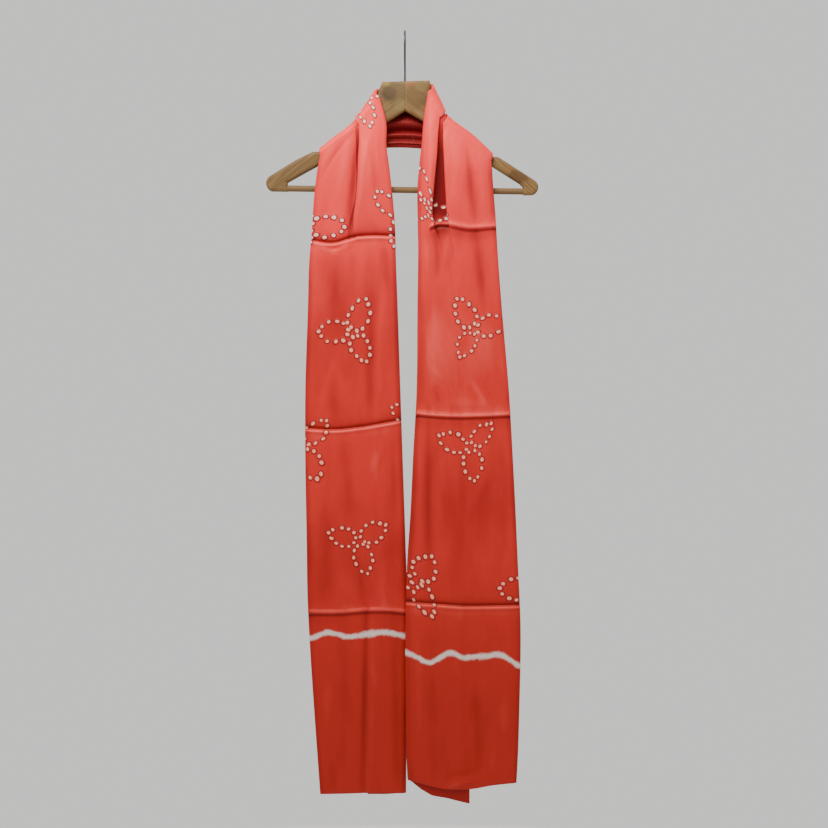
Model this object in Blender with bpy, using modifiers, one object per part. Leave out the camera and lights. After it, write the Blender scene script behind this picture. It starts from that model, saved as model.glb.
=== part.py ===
"""Satin dupatta stole, folded lengthwise into a band and hung round the neck of a wooden coat hanger.

Sizes are in millimetres and are scaled to metres as each mesh is made. The origin is the top of the
hook's inside, +Z is up and the front faces -Y. The cloth is one wall that winds through its three and
a half plies. Across the band, "across" runs from 0 at the outer edge to 1 at the inner edge.
"""
import math
from typing import NamedTuple

import bmesh
import bpy
import numpy as np
from mathutils import Vector

MM = 0.001
GAP = 0.3                       # between pieces that meet
SEAM_LEAD = 0.6                 # from row to row at a seam, which leaves the walls' edges a gap apart

# --- cloth ------------------------------------------------------------------------------------
WALL = 1.0
HEM_WALL = 1.6
HEM_DEPTH = 8.0
CREASE_REACH = 14.0             # how far a storage crease is felt above and below its line
CREASE_ROWS = 12.0              # rows of points this far above and below a crease
FREE_EDGE = 0.5                 # the cloth's free edge lies at mid-width, under the front ply
STEP = 0.04                     # half width of the step where the front ply falls off that edge
STEP_FALL = 0.6                 # height of the step, in pitches
SELVEDGE = 0.04                 # the other long edge lies just inside the outer fold, on the back ply

# --- hanger -----------------------------------------------------------------------------------
WOOD_HALF = 7.0                 # half thickness of the arms
WOOD_ROUND = 5.0                # radius of their edges
SEAM_X = -0.6                   # glued joint between the two arms
BAR_RADIUS = 5.2
WIRE_RADIUS = 1.65
HOOK_INNER_RADIUS = 20.0
SHANK_END, SHANK_TOP = -104.0, -62.0
HOOK_START, HOOK_END = 128.0, -142.0    # degrees round the hook from its top, towards the front
HOOK_SWEEP = 17.0               # how strongly the wire keeps its way where it sweeps out of the shank
BORE_CLEARANCE = 0.35
BORE_END, BORE_MOUTH = -110.0, -70.0

# --- how the cloth lies over the arms ---------------------------------------------------------
CREST_PITCH = 1.5               # ply to ply on the arms
CREST_LIFT = 3.4                # cloth's outer face above the crest line
CREST_HELIX = 10.0              # how far a thread runs along the arm on its way up to the top
BACK_HELIX = 4.0                # and on its way down behind
CREST_SQUARE = 0.14             # how far the turn bulges over the arm's rounded edges
CREST_FOLDS = 0.5               # share of the folds that is left where the cloth reaches the arm's top
WOOD_GAP = 0.5
CREST_RADIUS = WOOD_HALF + WOOD_GAP + WALL / 2 + 1.5 * CREST_PITCH
CREST_DEPTH = CREST_RADIUS + 1.5 * CREST_PITCH + WALL / 2


class Ripple(NamedTuple):
    """A soft wave across the hanging cloth: its height, radians across the band, and how it drifts."""
    height: float
    waves: float
    drift: float


RIPPLES = (Ripple(0.7, 9.5, 1.0), Ripple(0.35, 17.0, -1.7))
RIPPLE_LENGTH = 170.0           # height over which a ripple drifts by a radian
HANG_TOP, HANG_FULL = -250.0, -400.0    # the ripples grow between these heights


class Edges(NamedTuple):
    """Where the long edges of a hanging stretch lie at one height, and the fold between them."""
    z: float
    outer: float
    fold: float
    inner: float


class Line(NamedTuple):
    """Height of a line at five even places across a stretch, and how far it stands forward."""
    outer: float
    outer_mid: float
    middle: float
    inner_mid: float
    inner: float
    swell: float = 0.0


class Fold(NamedTuple):
    """Share of the folds' height at a place across the band, for the front ply and for those under it."""
    across: float
    front: float
    under: float


class Crest(NamedTuple):
    """A point of the line where the cloth turns over an arm, from the outer edge inwards."""
    x: float
    z: float


class Stretch(NamedTuple):
    """One hanging stretch of the stole. Tables by height run from the hem upwards."""
    inward: float               # +1 where inwards is +X
    edges: tuple
    neckline: tuple             # (z, x) of the inner edge above the shoulder line
    lines: tuple                # hem, lowest crease, middle crease, top crease, shoulder line
    crest: tuple
    crest_places: tuple         # distances along it of the band's outer edge, fold and inner edge
    fold_height: tuple          # (z, how far the folded cloth stands forward)
    folds: tuple                # how that height is shared out across the band
    stand_off: tuple            # (z, how far the middle of the plies is from the arms' mid-plane)
    under_drop: tuple           # (across, how far the half ply hangs below the front one)
    ripple_phase: float


PITCH_BY_HEIGHT = ((-1254, 3.1), (-900, 2.7), (-420, 2.5), (-250, 1.6), (-120, CREST_PITCH))

LEFT = Stretch(
    inward=1.0,
    edges=(
        Edges(-1254, -140.5, -61, 2.5), Edges(-1119, -150.2, -61, 3.5), Edges(-1020, -156.8, -61, 4.0),
        Edges(-921, -161.5, -61, 4.0), Edges(-846, -162.5, -62, 1.7), Edges(-698, -165.0, -65, -3.3),
        Edges(-599, -165.0, -68, -6.6), Edges(-450, -160.3, -73, -11.6), Edges(-376, -158.0, -80, -14.4),
        Edges(-338, -154.5, -85, -16.0), Edges(-261, -148.5, -74, -23.0), Edges(-211, -142.0, -72, -29.0),
    ),
    neckline=((-231, -26.5), (-195, -31), (-153, -30), (-128, -33), (-104, -41)),
    lines=(
        Line(-1254, -1253, -1252, -1252, -1252),
        Line(-957, -957, -953.5, -953, -956, 3.5),
        Line(-655, -657, -652, -647, -642, -4.0),
        Line(-343, -348, -338, -335, -332, -4.5),
        Line(-232, -232, -232, -231, -231),
    ),
    crest=(Crest(-152, -200), Crest(-138, -193), Crest(-119, -178), Crest(-97, -162), Crest(-79, -145.5),
           Crest(-67, -132), Crest(-57, -116), Crest(-48, -101), Crest(-44, -93)),
    crest_places=(15.5, 99, 146),
    fold_height=((-400, 0), (-362, 1.5), (-335, 5), (-277, 8.5), (-211, 9.5), (-150, 7), (-110, 3)),
    folds=(Fold(0, 0, 0), Fold(0.31, 0.06, 0.03), Fold(0.46, 0, 0), Fold(0.54, 1, 0), Fold(0.60, 1.04, 0.6),
           Fold(0.81, 0.9, 0.7), Fold(1, 0.5, 0.4)),
    stand_off=((-1254, 10.25), (-250, 10.25)),
    under_drop=((0.5, -2), (0.75, -2), (1, 0)),
    ripple_phase=0.4,
)

RIGHT = Stretch(
    inward=-1.0,
    edges=(
        Edges(-1233, 184.2, 106, 6.6), Edges(-1190, 186.4, 101, 5.5), Edges(-1110, 188.8, 96, 5.0),
        Edges(-970, 190.5, 96, 5.5), Edges(-871, 186.0, 94, 8.3), Edges(-797, 182.8, 93, 9.9),
        Edges(-698, 178.0, 92, 13.2), Edges(-599, 172.5, 91, 18.5), Edges(-450, 160.0, 82, 20.2),
        Edges(-351, 152.2, 66, 22.0), Edges(-302, 148.5, 57, 22.5), Edges(-261, 145.0, 57, 22.5),
        Edges(-211, 141.9, 58, 26.4),
    ),
    neckline=((-231, 23.5), (-195, 28), (-160, 29.5), (-130, 31.5), (-98, 38)),
    lines=(
        Line(-1233, -1237, -1243, -1241, -1229),
        Line(-944, -945, -945, -942, -939, -4.0),
        Line(-627, -630, -632, -630, -627, 4.0),
        Line(-323, -330, -323, -323, -326, 4.0),
        Line(-234, -234, -233, -232, -231),
    ),
    crest=(Crest(155, -210), Crest(141, -201), Crest(124, -187), Crest(104, -170.5), Crest(80, -154),
           Crest(68, -143), Crest(60, -128), Crest(53, -112), Crest(45.5, -93), Crest(43, -85.5)),
    crest_places=(16.5, 120, 164),
    fold_height=((-410, 0), (-350, 4), (-325, 9), (-294, 13), (-195, 12), (-150, 9), (-110, 4)),
    folds=(Fold(0, 0.2, 0.1), Fold(0.09, 0.5, 0.3), Fold(0.31, 0.97, 0.55), Fold(0.41, 0.9, 0.3),
           Fold(0.46, 0, 0), Fold(0.54, 0, 0), Fold(0.60, 0.95, 0), Fold(0.70, 1.05, 0.55),
           Fold(0.81, 0.95, 0.7), Fold(1, 0.4, 0.35)),
    stand_off=((-1254, 23.5), (-850, 22.5), (-560, 13.5), (-400, 10.25), (-250, 10.25)),
    under_drop=((0.5, -24), (0.6, -19), (0.7, -15), (0.82, -15), (0.92, -9), (1, 0)),
    ripple_phase=2.3,
)

NECK_LEAD = 0.35                # how far the cloth keeps its way off an arm, as a share of the span
NECK_ARCH = 24.5                # how far the band's lower edge rises behind the neck
NECK_BUNCH = 7.0                # height of the folds of the bunched band there

# --- hanger's outline, seen from the front, as (x, z) points ----------------------------------
NOTCH_APEX = (0.7, -130.5)
LEFT_LOWER_EDGE = ((-27.2, -147.7), (-140, -219.4), (-193, -248.8), (-193, -263.5))
LEFT_TIP = ((-214.5, -249.5), 14.5, 248, 120)           # centre, radius, first and last angle
LEFT_OUTER_EDGE = ((-180, -211.2), (-152, -197.7))
LEFT_SHOULDER = (-37.5, -82.3)
RIGHT_LOWER_EDGE = ((30.5, -147.7), (142.7, -221.7), (189, -251), (194.7, -257), (194.7, -269.3))
RIGHT_TIP = ((206.5, -256), 13.6, 57, -77)
RIGHT_OUTER_EDGE = ((161.7, -211.2), (153, -205.8))
RIGHT_SHOULDER = (40.8, -80)
BAR_ENDS = ((-220.5, -257.6), (204.0, -263.0))


# --- small helpers ----------------------------------------------------------------------------
def lerp(start, end, share):
    """Point or number a share of the way from start to end."""
    return start + (end - start) * share


def ease(value):
    """Smooth step from 0 to 1."""
    value = min(max(value, 0.0), 1.0)
    return value * value * (3 - 2 * value)


def smooth_table(table, at):
    """Read a table of (place, value) rows as a smooth curve, level past its ends."""
    places, values = (np.array(column, float) for column in zip(*table))
    slopes = np.gradient(values, places)
    at = min(max(at, places[0]), places[-1])
    cell = min(max(int(np.searchsorted(places, at)) - 1, 0), len(places) - 2)
    span = places[cell + 1] - places[cell]
    f = (at - places[cell]) / span
    rise = f * f * (3 - 2 * f)
    return (values[cell] * (1 - rise) + values[cell + 1] * rise
            + span * f * (1 - f) * ((1 - f) * slopes[cell] - f * slopes[cell + 1]))


def straight_table(table, at):
    """Read a table of (place, value) rows with straight runs between them."""
    places, values = zip(*table)
    return float(np.interp(at, places, values))


# --- the plies --------------------------------------------------------------------------------
class Ply(NamedTuple):
    """One ply: its place in the stack in pitches, outwards positive, and its shares of the folds."""
    place: float
    front_share: float
    under_share: float


FRONT_PLY, HALF_PLY = Ply(1.5, 1.0, 0.0), Ply(0.5, 0.0, 1.0)
MIDDLE_PLY, BACK_PLY = Ply(-0.5, 0.0, 0.6), Ply(-1.5, 0.0, 0.15)

FINE_COLUMNS = (0, 0.09, 0.20, 0.31, 0.41, FREE_EDGE - STEP, FREE_EDGE + STEP, 0.60, 0.70, 0.81, 0.91, 1)
HALF_COLUMNS = (FREE_EDGE, FREE_EDGE + STEP, 0.60, 0.70, 0.81, 0.91, 1)
BACK_COLUMNS = (1, 0.85, 0.60, FREE_EDGE + STEP, FREE_EDGE - STEP, 0.41, 0.20, SELVEDGE)
MIDDLE_COLUMNS = (*BACK_COLUMNS, 0)


class Turn(NamedTuple):
    """A step round an edge of the band, from one ply to the next, by its angle."""
    edge: int
    start: Ply
    end: Ply
    angle: float


def turns(edge, start, end, steps):
    """The steps between two plies round an edge, without its two ends."""
    return [Turn(edge, start, end, math.pi * k / (steps + 1)) for k in range(1, steps + 1)]


def winding():
    """The cloth's path across the band: (ply, across) on the plies and Turn round their edges."""
    path = [(HALF_PLY, across) for across in HALF_COLUMNS]
    path += turns(1, HALF_PLY, MIDDLE_PLY, 2)
    path += [(MIDDLE_PLY, across) for across in MIDDLE_COLUMNS]
    path += turns(0, MIDDLE_PLY, FRONT_PLY, 3)
    path += [(FRONT_PLY, across) for across in FINE_COLUMNS]
    path += turns(1, FRONT_PLY, BACK_PLY, 3)
    path += [(BACK_PLY, across) for across in BACK_COLUMNS]
    return path


# --- hanging stretches ------------------------------------------------------------------------
class Row(NamedTuple):
    """A row of a stretch: a line, a share of the way to the next one, and a lift above that."""
    line: int
    share: float = 0.0
    lift: float = 0.0


SHOULDER = 4                    # number of the line from which rows fan out to the crest


def line_height(stretch, number, across):
    line = stretch.lines[number]
    return smooth_table(tuple(zip((0, 0.25, 0.5, 0.75, 1), line[:5])), across)


def crest_point(stretch, across, shift):
    """A point inside the turn over the arm, and the outward direction there."""
    outer, fold, inner = stretch.crest_places
    return crest_at(stretch, straight_table(((0, outer), (FREE_EDGE, fold), (1, inner)), across) + shift)


def crest_at(stretch, distance):
    """The same, at a distance along the crest line from its outer end."""
    lengths = np.cumsum([0] + [math.dist(a, b) for a, b in zip(stretch.crest, stretch.crest[1:])])
    tables = [tuple(zip(lengths, [point[axis] for point in stretch.crest])) for axis in (0, 1)]
    reach = 5.0
    inside = min(max(distance, reach), lengths[-1] - reach)
    low, here, high = (Vector((smooth_table(tables[0], d), 0, smooth_table(tables[1], d)))
                       for d in (inside - reach, inside, inside + reach))
    along = (high - low).normalized()
    out = Vector((-along.z, 0, along.x)) * stretch.inward
    return here + along * (distance - inside) - out * (CREST_DEPTH - CREST_LIFT), out


def pitch_at(z):
    return smooth_table(PITCH_BY_HEIGHT, z)


def fold_at(stretch, across, z, ply):
    """How far a ply stands forward of its place in the flat stack: its folds and soft ripples."""
    fronts, unders = (tuple((fold.across, fold[column]) for fold in stretch.folds) for column in (1, 2))
    share = ply.front_share * straight_table(fronts, across) + ply.under_share * straight_table(unders, across)
    fold = max(smooth_table(stretch.fold_height, z), 0.0) * share
    phase = stretch.ripple_phase + z / RIPPLE_LENGTH
    ripple = sum(wave.height * (1 + math.sin(wave.waves * across + wave.drift * phase)) for wave in RIPPLES)
    ripple *= math.sin(math.pi * min(max(across, 0), 1)) ** 0.5 * (ply.front_share + 0.6 * ply.under_share)
    off_the_edge = 1 - ease((across - FREE_EDGE + STEP) / (2 * STEP))
    step = -STEP_FALL * pitch_at(z) * off_the_edge * ply.front_share
    return fold + ease((HANG_TOP - z) / (HANG_TOP - HANG_FULL)) * (ripple + step)


def crease_at(stretch, across, z):
    """How far the storage creases push every ply forward."""
    push = 0.0
    for number, line in enumerate(stretch.lines):
        if line.swell:
            push += line.swell * math.exp(-abs(z - line_height(stretch, number, across)) / CREASE_REACH)
    return push


def edge_x(stretch, across, z):
    """X of a place across the band, with room left for the turns at both edges."""
    tables = [tuple((row.z, row[column]) for row in stretch.edges) for column in (1, 2, 3)]
    outer, fold, inner = (smooth_table(table, z) for table in tables)
    pitch = pitch_at(z)
    outer += stretch.inward * (pitch + WALL / 2)
    inner -= stretch.inward * (1.5 * pitch + WALL / 2)
    return straight_table(((0, outer), (FREE_EDGE, fold), (1, inner)), across)


def front_point(stretch, row, across, ply):
    """A point of a ply on the front of a stretch."""
    drop = 0.0
    if row.line == 0 and ply is HALF_PLY:
        drop = straight_table(stretch.under_drop, across) * (1 - row.share) ** 2
    if row.line < SHOULDER:
        above = line_height(stretch, row.line + 1, across)
        z = lerp(line_height(stretch, row.line, across) + drop, above, row.share) + row.lift
        x = edge_x(stretch, across, z)
    else:
        low_z = line_height(stretch, SHOULDER, across)
        low = Vector((edge_x(stretch, across, low_z), 0, low_z))
        high, _ = crest_point(stretch, across, -CREST_HELIX)
        spot = lerp(low, high, row.share)
        inner_low = line_height(stretch, SHOULDER, 1)
        inner_high, _ = crest_point(stretch, 1, -CREST_HELIX)
        inner_z = lerp(inner_low, inner_high.z, row.share)
        straight = lerp(edge_x(stretch, 1, inner_low), inner_high.x, row.share)
        pitch = pitch_at(inner_z)
        wanted = smooth_table(stretch.neckline, inner_z) - stretch.inward * (1.5 * pitch + WALL / 2)
        bend = (wanted - straight) * math.sin(math.pi * row.share)
        x, z = spot.x + across ** 2 * bend, spot.z
    flatten = 1 - (1 - CREST_FOLDS) * row.share ** 2 if row.line == SHOULDER else 1
    outwards = (smooth_table(stretch.stand_off, z) + ply.place * pitch_at(z)
                + fold_at(stretch, across, z, ply) * flatten + crease_at(stretch, across, z))
    return Vector((x, -outwards, z))


def turn_point(stretch, angle, across, ply):
    """A point of a ply where it turns over the arm, from the front (0) to the back (pi)."""
    helix = CREST_HELIX if angle < math.pi / 2 else BACK_HELIX
    centre, out = crest_point(stretch, across, -helix * math.cos(angle))
    front_share = CREST_FOLDS * math.cos(angle / 2) ** 4
    start_z = crest_point(stretch, across, -CREST_HELIX)[0].z
    radius = (CREST_RADIUS * (1 + CREST_SQUARE * math.sin(2 * angle) ** 2) + ply.place * CREST_PITCH
              + fold_at(stretch, across, start_z, ply) * front_share)
    return centre + out * radius * math.sin(angle) + Vector((0, -radius * math.cos(angle), 0))


def neck_point(share, across, ply):
    """A point of a ply behind the neck, a share of the way from the left arm to the right one."""
    left_off, right_off = (-crest_point(side, across, BACK_HELIX)[1] for side in (LEFT, RIGHT))
    left = turn_point(LEFT, math.pi, across, ply) + left_off * SEAM_LEAD
    right = turn_point(RIGHT, math.pi, across, ply) + right_off * SEAM_LEAD
    middle = 4 * share * (1 - share)
    near, far = 1 - share, share
    spot = (left * near * near * (1 + 2 * far) + right * far * far * (1 + 2 * near)
            + (left_off * near + right_off * far) * NECK_LEAD * (right - left).length * near * far)
    spot.z += NECK_ARCH * (1 - across) * middle ** 2
    spot.y += NECK_BUNCH * ply.front_share * (0.5 - 0.5 * math.cos(4 * math.pi * across)) * middle ** 2
    return spot


# --- meshes -----------------------------------------------------------------------------------
def wound_point(place, path_item):
    """A point of the cloth, where place(across, ply) gives the points of a flat ply."""
    if not isinstance(path_item, Turn):
        ply, across = path_item
        return place(across, ply)
    edge, start, end, angle = path_item
    first, last = place(edge, start), place(edge, end)
    outwards = last - place(abs(edge - 0.05), end)
    half = (first - last) / 2
    outwards = (outwards - half * (outwards.dot(half) / half.length_squared)).normalized()
    return (first + last) / 2 + half * math.cos(angle) + outwards * half.length * math.sin(angle)


def new_object(name, mesh, material, collection):
    obj = bpy.data.objects.new(name, mesh)
    obj.data.materials.append(material)
    collection.objects.link(obj)
    return obj


def cloth_piece(name, rows, material, collection, wall=WALL):
    """A wall of cloth through rows, each of them a function that places (across, ply)."""
    path = winding()
    sheet = bmesh.new()
    bmesh.ops.create_grid(sheet, x_segments=len(path) - 1, y_segments=len(rows) - 1, size=0.5)
    sheet.verts.ensure_lookup_table()
    for number, place in enumerate(rows):
        for column, item in enumerate(path):
            sheet.verts[number * len(path) + column].co = wound_point(place, item) * MM
    mesh = bpy.data.meshes.new(name)
    sheet.to_mesh(mesh)
    sheet.free()
    mesh.shade_smooth()
    obj = new_object(name, mesh, material, collection)
    solidify = obj.modifiers.new("wall", "SOLIDIFY")
    solidify.thickness = wall * MM
    solidify.offset = 0
    return obj


def front_row(stretch, row):
    return lambda across, ply: front_point(stretch, row, across, ply)


def turn_row(stretch, angle):
    return lambda across, ply: turn_point(stretch, angle, across, ply)


def neck_row(share):
    return lambda across, ply: neck_point(share, across, ply)


def stretch_rows():
    """The rows of a hanging stretch above its hem, closer together at its creases."""
    rows = [Row(0, 0, HEM_DEPTH + GAP), Row(0, 0.25), Row(0, 0.5), Row(0, 0.78)]
    for line in (1, 2, 3):
        rows += [Row(line, 0, -CREASE_ROWS), Row(line), Row(line, 0, CREASE_ROWS)]
        if line < 3:
            rows += [Row(line, 0.33), Row(line, 0.67)]
    rows += [Row(3, 0.5)]
    rows += [Row(SHOULDER, share) for share in (0, 0.25, 0.5, 0.75, 1)]
    return rows


def hanging_stretch(name, stretch, material, collection):
    """A stretch from above its hem to behind the arm."""
    rows = [front_row(stretch, row) for row in stretch_rows()]
    rows += [turn_row(stretch, math.pi * k / 6) for k in (1, 2, 3, 4, 5, 6)]
    return cloth_piece(name, rows, material, collection)


def hem(name, stretch, material, collection):
    """The turned end of a stretch, twice as thick as its cloth."""
    rows = [front_row(stretch, Row(0)), front_row(stretch, Row(0, 0, HEM_DEPTH))]
    return cloth_piece(name, rows, material, collection, HEM_WALL)


def neck_back(material, collection):
    """The stretch behind the neck."""
    rows = [neck_row(share) for share in (0, 0.10, 0.25, 0.42, 0.58, 0.75, 0.90, 1)]
    return cloth_piece("neck_back", rows, material, collection)


def arc(centre, radius, start, end, steps=9):
    """Points of an arc, with angles in degrees anticlockwise from +X as seen from the front."""
    angles = np.radians(np.linspace(start, end, steps))
    return [(centre[0] + radius * math.cos(a), centre[1] + radius * math.sin(a)) for a in angles]


def covered_edge(stretch):
    """The upper edge of an arm where the cloth covers it, from its outer end inwards."""
    edge = []
    for distance in np.linspace(stretch.crest_places[0] - 4.0, stretch.crest_places[2], 10):
        centre, out = crest_at(stretch, distance)
        spot = centre + out * (WOOD_HALF - GAP)
        edge.append((spot.x, spot.z))
    return edge


def hanger_blank(collection):
    """Both arms in one piece, as a flat outline with rounded edges."""
    outline = [NOTCH_APEX, *LEFT_LOWER_EDGE, *arc(*LEFT_TIP), *LEFT_OUTER_EDGE]
    outline += covered_edge(LEFT) + [LEFT_SHOULDER, RIGHT_SHOULDER]
    outline += reversed([*RIGHT_OUTER_EDGE, *covered_edge(RIGHT)])
    outline += [*arc(*RIGHT_TIP), *reversed(RIGHT_LOWER_EDGE)]
    curve = bpy.data.curves.new("hanger_outline", "CURVE")
    curve.dimensions = "2D"
    curve.fill_mode = "BOTH"
    curve.extrude = (WOOD_HALF - WOOD_ROUND) * MM
    curve.bevel_depth = WOOD_ROUND * MM
    curve.bevel_resolution = 2
    curve.offset = -WOOD_ROUND * MM
    spline = curve.splines.new("POLY")
    spline.points.add(len(outline) - 1)
    for point, (x, z) in zip(spline.points, outline):
        point.co = (x * MM, z * MM, 0, 1)
    spline.use_cyclic_u = True
    guide = bpy.data.objects.new("hanger_outline", curve)
    guide.rotation_euler.x = math.pi / 2
    collection.objects.link(guide)
    bpy.context.view_layer.update()
    evaluated = guide.evaluated_get(bpy.context.evaluated_depsgraph_get())
    mesh = bpy.data.meshes.new_from_object(evaluated)
    mesh.transform(guide.matrix_world)
    bpy.data.objects.remove(guide)
    return mesh


def arm(name, blank, side, cutters, material, collection):
    """One arm, cut from the blank at the glued joint, with the bore and the bar's housing."""
    body = bmesh.new()
    body.from_mesh(blank)
    bmesh.ops.remove_doubles(body, verts=body.verts, dist=0.00001)
    plane_x = (SEAM_X + side * GAP / 2) * MM
    cut = bmesh.ops.bisect_plane(body, geom=body.verts[:] + body.edges[:] + body.faces[:],
                                 plane_co=(plane_x, 0, 0), plane_no=(-side, 0, 0), clear_outer=True)
    rim = [item for item in cut["geom_cut"] if isinstance(item, bmesh.types.BMEdge)]
    bmesh.ops.contextual_create(body, geom=rim)
    mesh = bpy.data.meshes.new(name)
    body.to_mesh(mesh)
    body.free()
    obj = new_object(name, mesh, material, collection)
    for cutter in cutters:
        boolean = obj.modifiers.new(cutter.name, "BOOLEAN")
        boolean.operation = "DIFFERENCE"
        boolean.object = cutter
    return obj


def cutter_object(obj, collection):
    obj.hide_render = True
    obj.display_type = "WIRE"
    for owner in list(obj.users_collection):
        owner.objects.unlink(obj)
    collection.objects.link(obj)
    return obj


def cylinder_between(name, start, end, radius, sides):
    """A cylinder between two points."""
    start, end = Vector(start) * MM, Vector(end) * MM
    axis = end - start
    bpy.ops.mesh.primitive_cylinder_add(vertices=sides, radius=radius * MM, depth=axis.length,
                                        location=(start + end) / 2)
    obj = bpy.context.object
    obj.name = obj.data.name = name
    obj.rotation_euler = axis.to_track_quat("Z", "Y").to_euler()
    return obj


def trouser_bar(material, collection):
    (left_x, left_z), (right_x, right_z) = BAR_ENDS
    obj = cylinder_between("trouser_bar", (left_x, 0, left_z), (right_x, 0, right_z), BAR_RADIUS, 20)
    obj.data.materials.append(material)
    obj.data.shade_smooth()
    obj.data.set_sharp_from_angle(angle=math.radians(40))
    for owner in list(obj.users_collection):
        owner.objects.unlink(obj)
    collection.objects.link(obj)
    return obj


def hook_path():
    """Centre line of the wire: shank, sweep to the front, and the round hook over the top."""
    radius = HOOK_INNER_RADIUS + WIRE_RADIUS

    def on_circle(angle):
        return Vector((0, -radius * math.sin(angle), radius * math.cos(angle) - HOOK_INNER_RADIUS))

    start, end = math.radians(HOOK_START), math.radians(HOOK_END)
    leave, join = Vector((0, 0, SHANK_TOP)), on_circle(start)
    away = Vector((0, 0, HOOK_SWEEP))
    arrive = Vector((0, math.cos(start), math.sin(start))) * HOOK_SWEEP
    points = [Vector((0, 0, SHANK_END)), Vector((0, 0, (SHANK_END + SHANK_TOP) / 2))]
    for f in np.linspace(0, 1, 8):
        points.append(leave * (1 - f) ** 3 + (leave + away) * 3 * f * (1 - f) ** 2
                      + (join - arrive) * 3 * f * f * (1 - f) + join * f ** 3)
    points += [on_circle(angle) for angle in np.linspace(start, end, 19)[1:]]
    return points


def hook(material, collection):
    points = hook_path()
    curve = bpy.data.curves.new("hook", "CURVE")
    curve.dimensions = "3D"
    curve.bevel_depth = WIRE_RADIUS * MM
    curve.bevel_resolution = 2
    curve.use_fill_caps = True
    spline = curve.splines.new("POLY")
    spline.points.add(len(points) - 1)
    for point, spot in zip(spline.points, points):
        point.co = (*(spot * MM), 1)
    curve.materials.append(material)
    obj = bpy.data.objects.new("hook", curve)
    collection.objects.link(obj)
    return obj


def material(name, colour, roughness, metallic=0.0):
    made = bpy.data.materials.new(name)
    made.use_nodes = True
    shader = made.node_tree.nodes["Principled BSDF"]
    shader.inputs["Base Color"].default_value = (*colour, 1)
    shader.inputs["Roughness"].default_value = roughness
    shader.inputs["Metallic"].default_value = metallic
    return made


def main():
    for obj in list(bpy.data.objects):
        bpy.data.objects.remove(obj)
    part = bpy.data.collections.new("dupatta_stole")
    cutters = bpy.data.collections.new("cutters")
    for collection in (part, cutters):
        bpy.context.scene.collection.children.link(collection)
    satin = material("coral_satin", (0.67, 0.07, 0.04), 0.35)
    turned = material("turned_satin", (0.60, 0.05, 0.03), 0.4)
    wood = material("wood", (0.27, 0.16, 0.08), 0.55)
    steel = material("steel_wire", (0.30, 0.30, 0.30), 0.35, 1.0)

    hanging_stretch("front_left", LEFT, satin, part)
    hanging_stretch("front_right", RIGHT, satin, part)
    neck_back(satin, part)
    hem("hem_left", LEFT, turned, part)
    hem("hem_right", RIGHT, turned, part)

    blank = hanger_blank(cutters)
    bore = cutter_object(cylinder_between("bore", (0, 0, BORE_END), (0, 0, BORE_MOUTH),
                                          WIRE_RADIUS + BORE_CLEARANCE, 12), cutters)
    (left_x, left_z), (right_x, right_z) = BAR_ENDS
    housing = cutter_object(cylinder_between("housing", (left_x - GAP, 0, left_z), (right_x + GAP, 0, right_z),
                                             BAR_RADIUS + BORE_CLEARANCE, 20), cutters)
    arm("hanger_arm_left", blank, -1, (bore, housing), wood, part)
    arm("hanger_arm_right", blank, 1, (bore, housing), wood, part)
    bpy.data.meshes.remove(blank)
    trouser_bar(wood, part)
    hook(steel, part)


main()
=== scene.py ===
"""Looks of a satin dupatta stole that hangs like a scarf round the neck of a wooden coat hanger.

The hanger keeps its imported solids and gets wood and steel. The stole's solids are replaced by three fine
sheets on the same drape, which follow each other as one cloth from hem to hem. The drape's own sizes are
in millimetres, and its points are scaled to metres as the meshes are made. "Across" runs over the folded
band from 0 at its outer edge to 1 at its inner edge, the side of the neck.
"""
import logging
import math
from dataclasses import dataclass
from enum import Enum
from typing import Any, Callable, NamedTuple, Sequence

import bmesh
import bpy
import numpy as np
from mathutils import Matrix, Vector


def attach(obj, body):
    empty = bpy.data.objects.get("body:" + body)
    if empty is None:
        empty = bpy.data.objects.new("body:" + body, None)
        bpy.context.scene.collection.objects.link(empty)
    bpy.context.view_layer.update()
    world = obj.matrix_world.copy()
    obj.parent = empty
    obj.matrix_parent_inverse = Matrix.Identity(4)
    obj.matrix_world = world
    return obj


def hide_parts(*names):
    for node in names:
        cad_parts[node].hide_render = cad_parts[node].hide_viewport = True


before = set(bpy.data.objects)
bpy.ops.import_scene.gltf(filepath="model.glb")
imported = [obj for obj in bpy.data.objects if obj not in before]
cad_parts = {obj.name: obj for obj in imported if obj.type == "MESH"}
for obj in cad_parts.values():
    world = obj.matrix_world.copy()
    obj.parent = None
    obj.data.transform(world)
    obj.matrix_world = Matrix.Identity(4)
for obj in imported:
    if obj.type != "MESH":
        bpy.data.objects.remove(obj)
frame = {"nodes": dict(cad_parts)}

LOG = logging.getLogger("dupatta_stole")
MM = 0.001
Array = np.ndarray
Table = Sequence[tuple]


# --- reading tables ---------------------------------------------------------------------------
def ease(value: Array) -> Array:
    """Smooth step from 0 to 1."""
    value = np.clip(value, 0.0, 1.0)
    return value * value * (3 - 2 * value)


def smooth(table: Table, at: Array) -> Array:
    """Read a table of (place, value) rows as a smooth curve, level past its ends.

    Args:
        table: The rows, by rising place.
        at: The places to read it at.

    Returns:
        The values there.
    """
    places, values = np.array(table, float).T
    return hermite(places, values[None, :], np.asarray(at, float)[None])[0]


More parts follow.
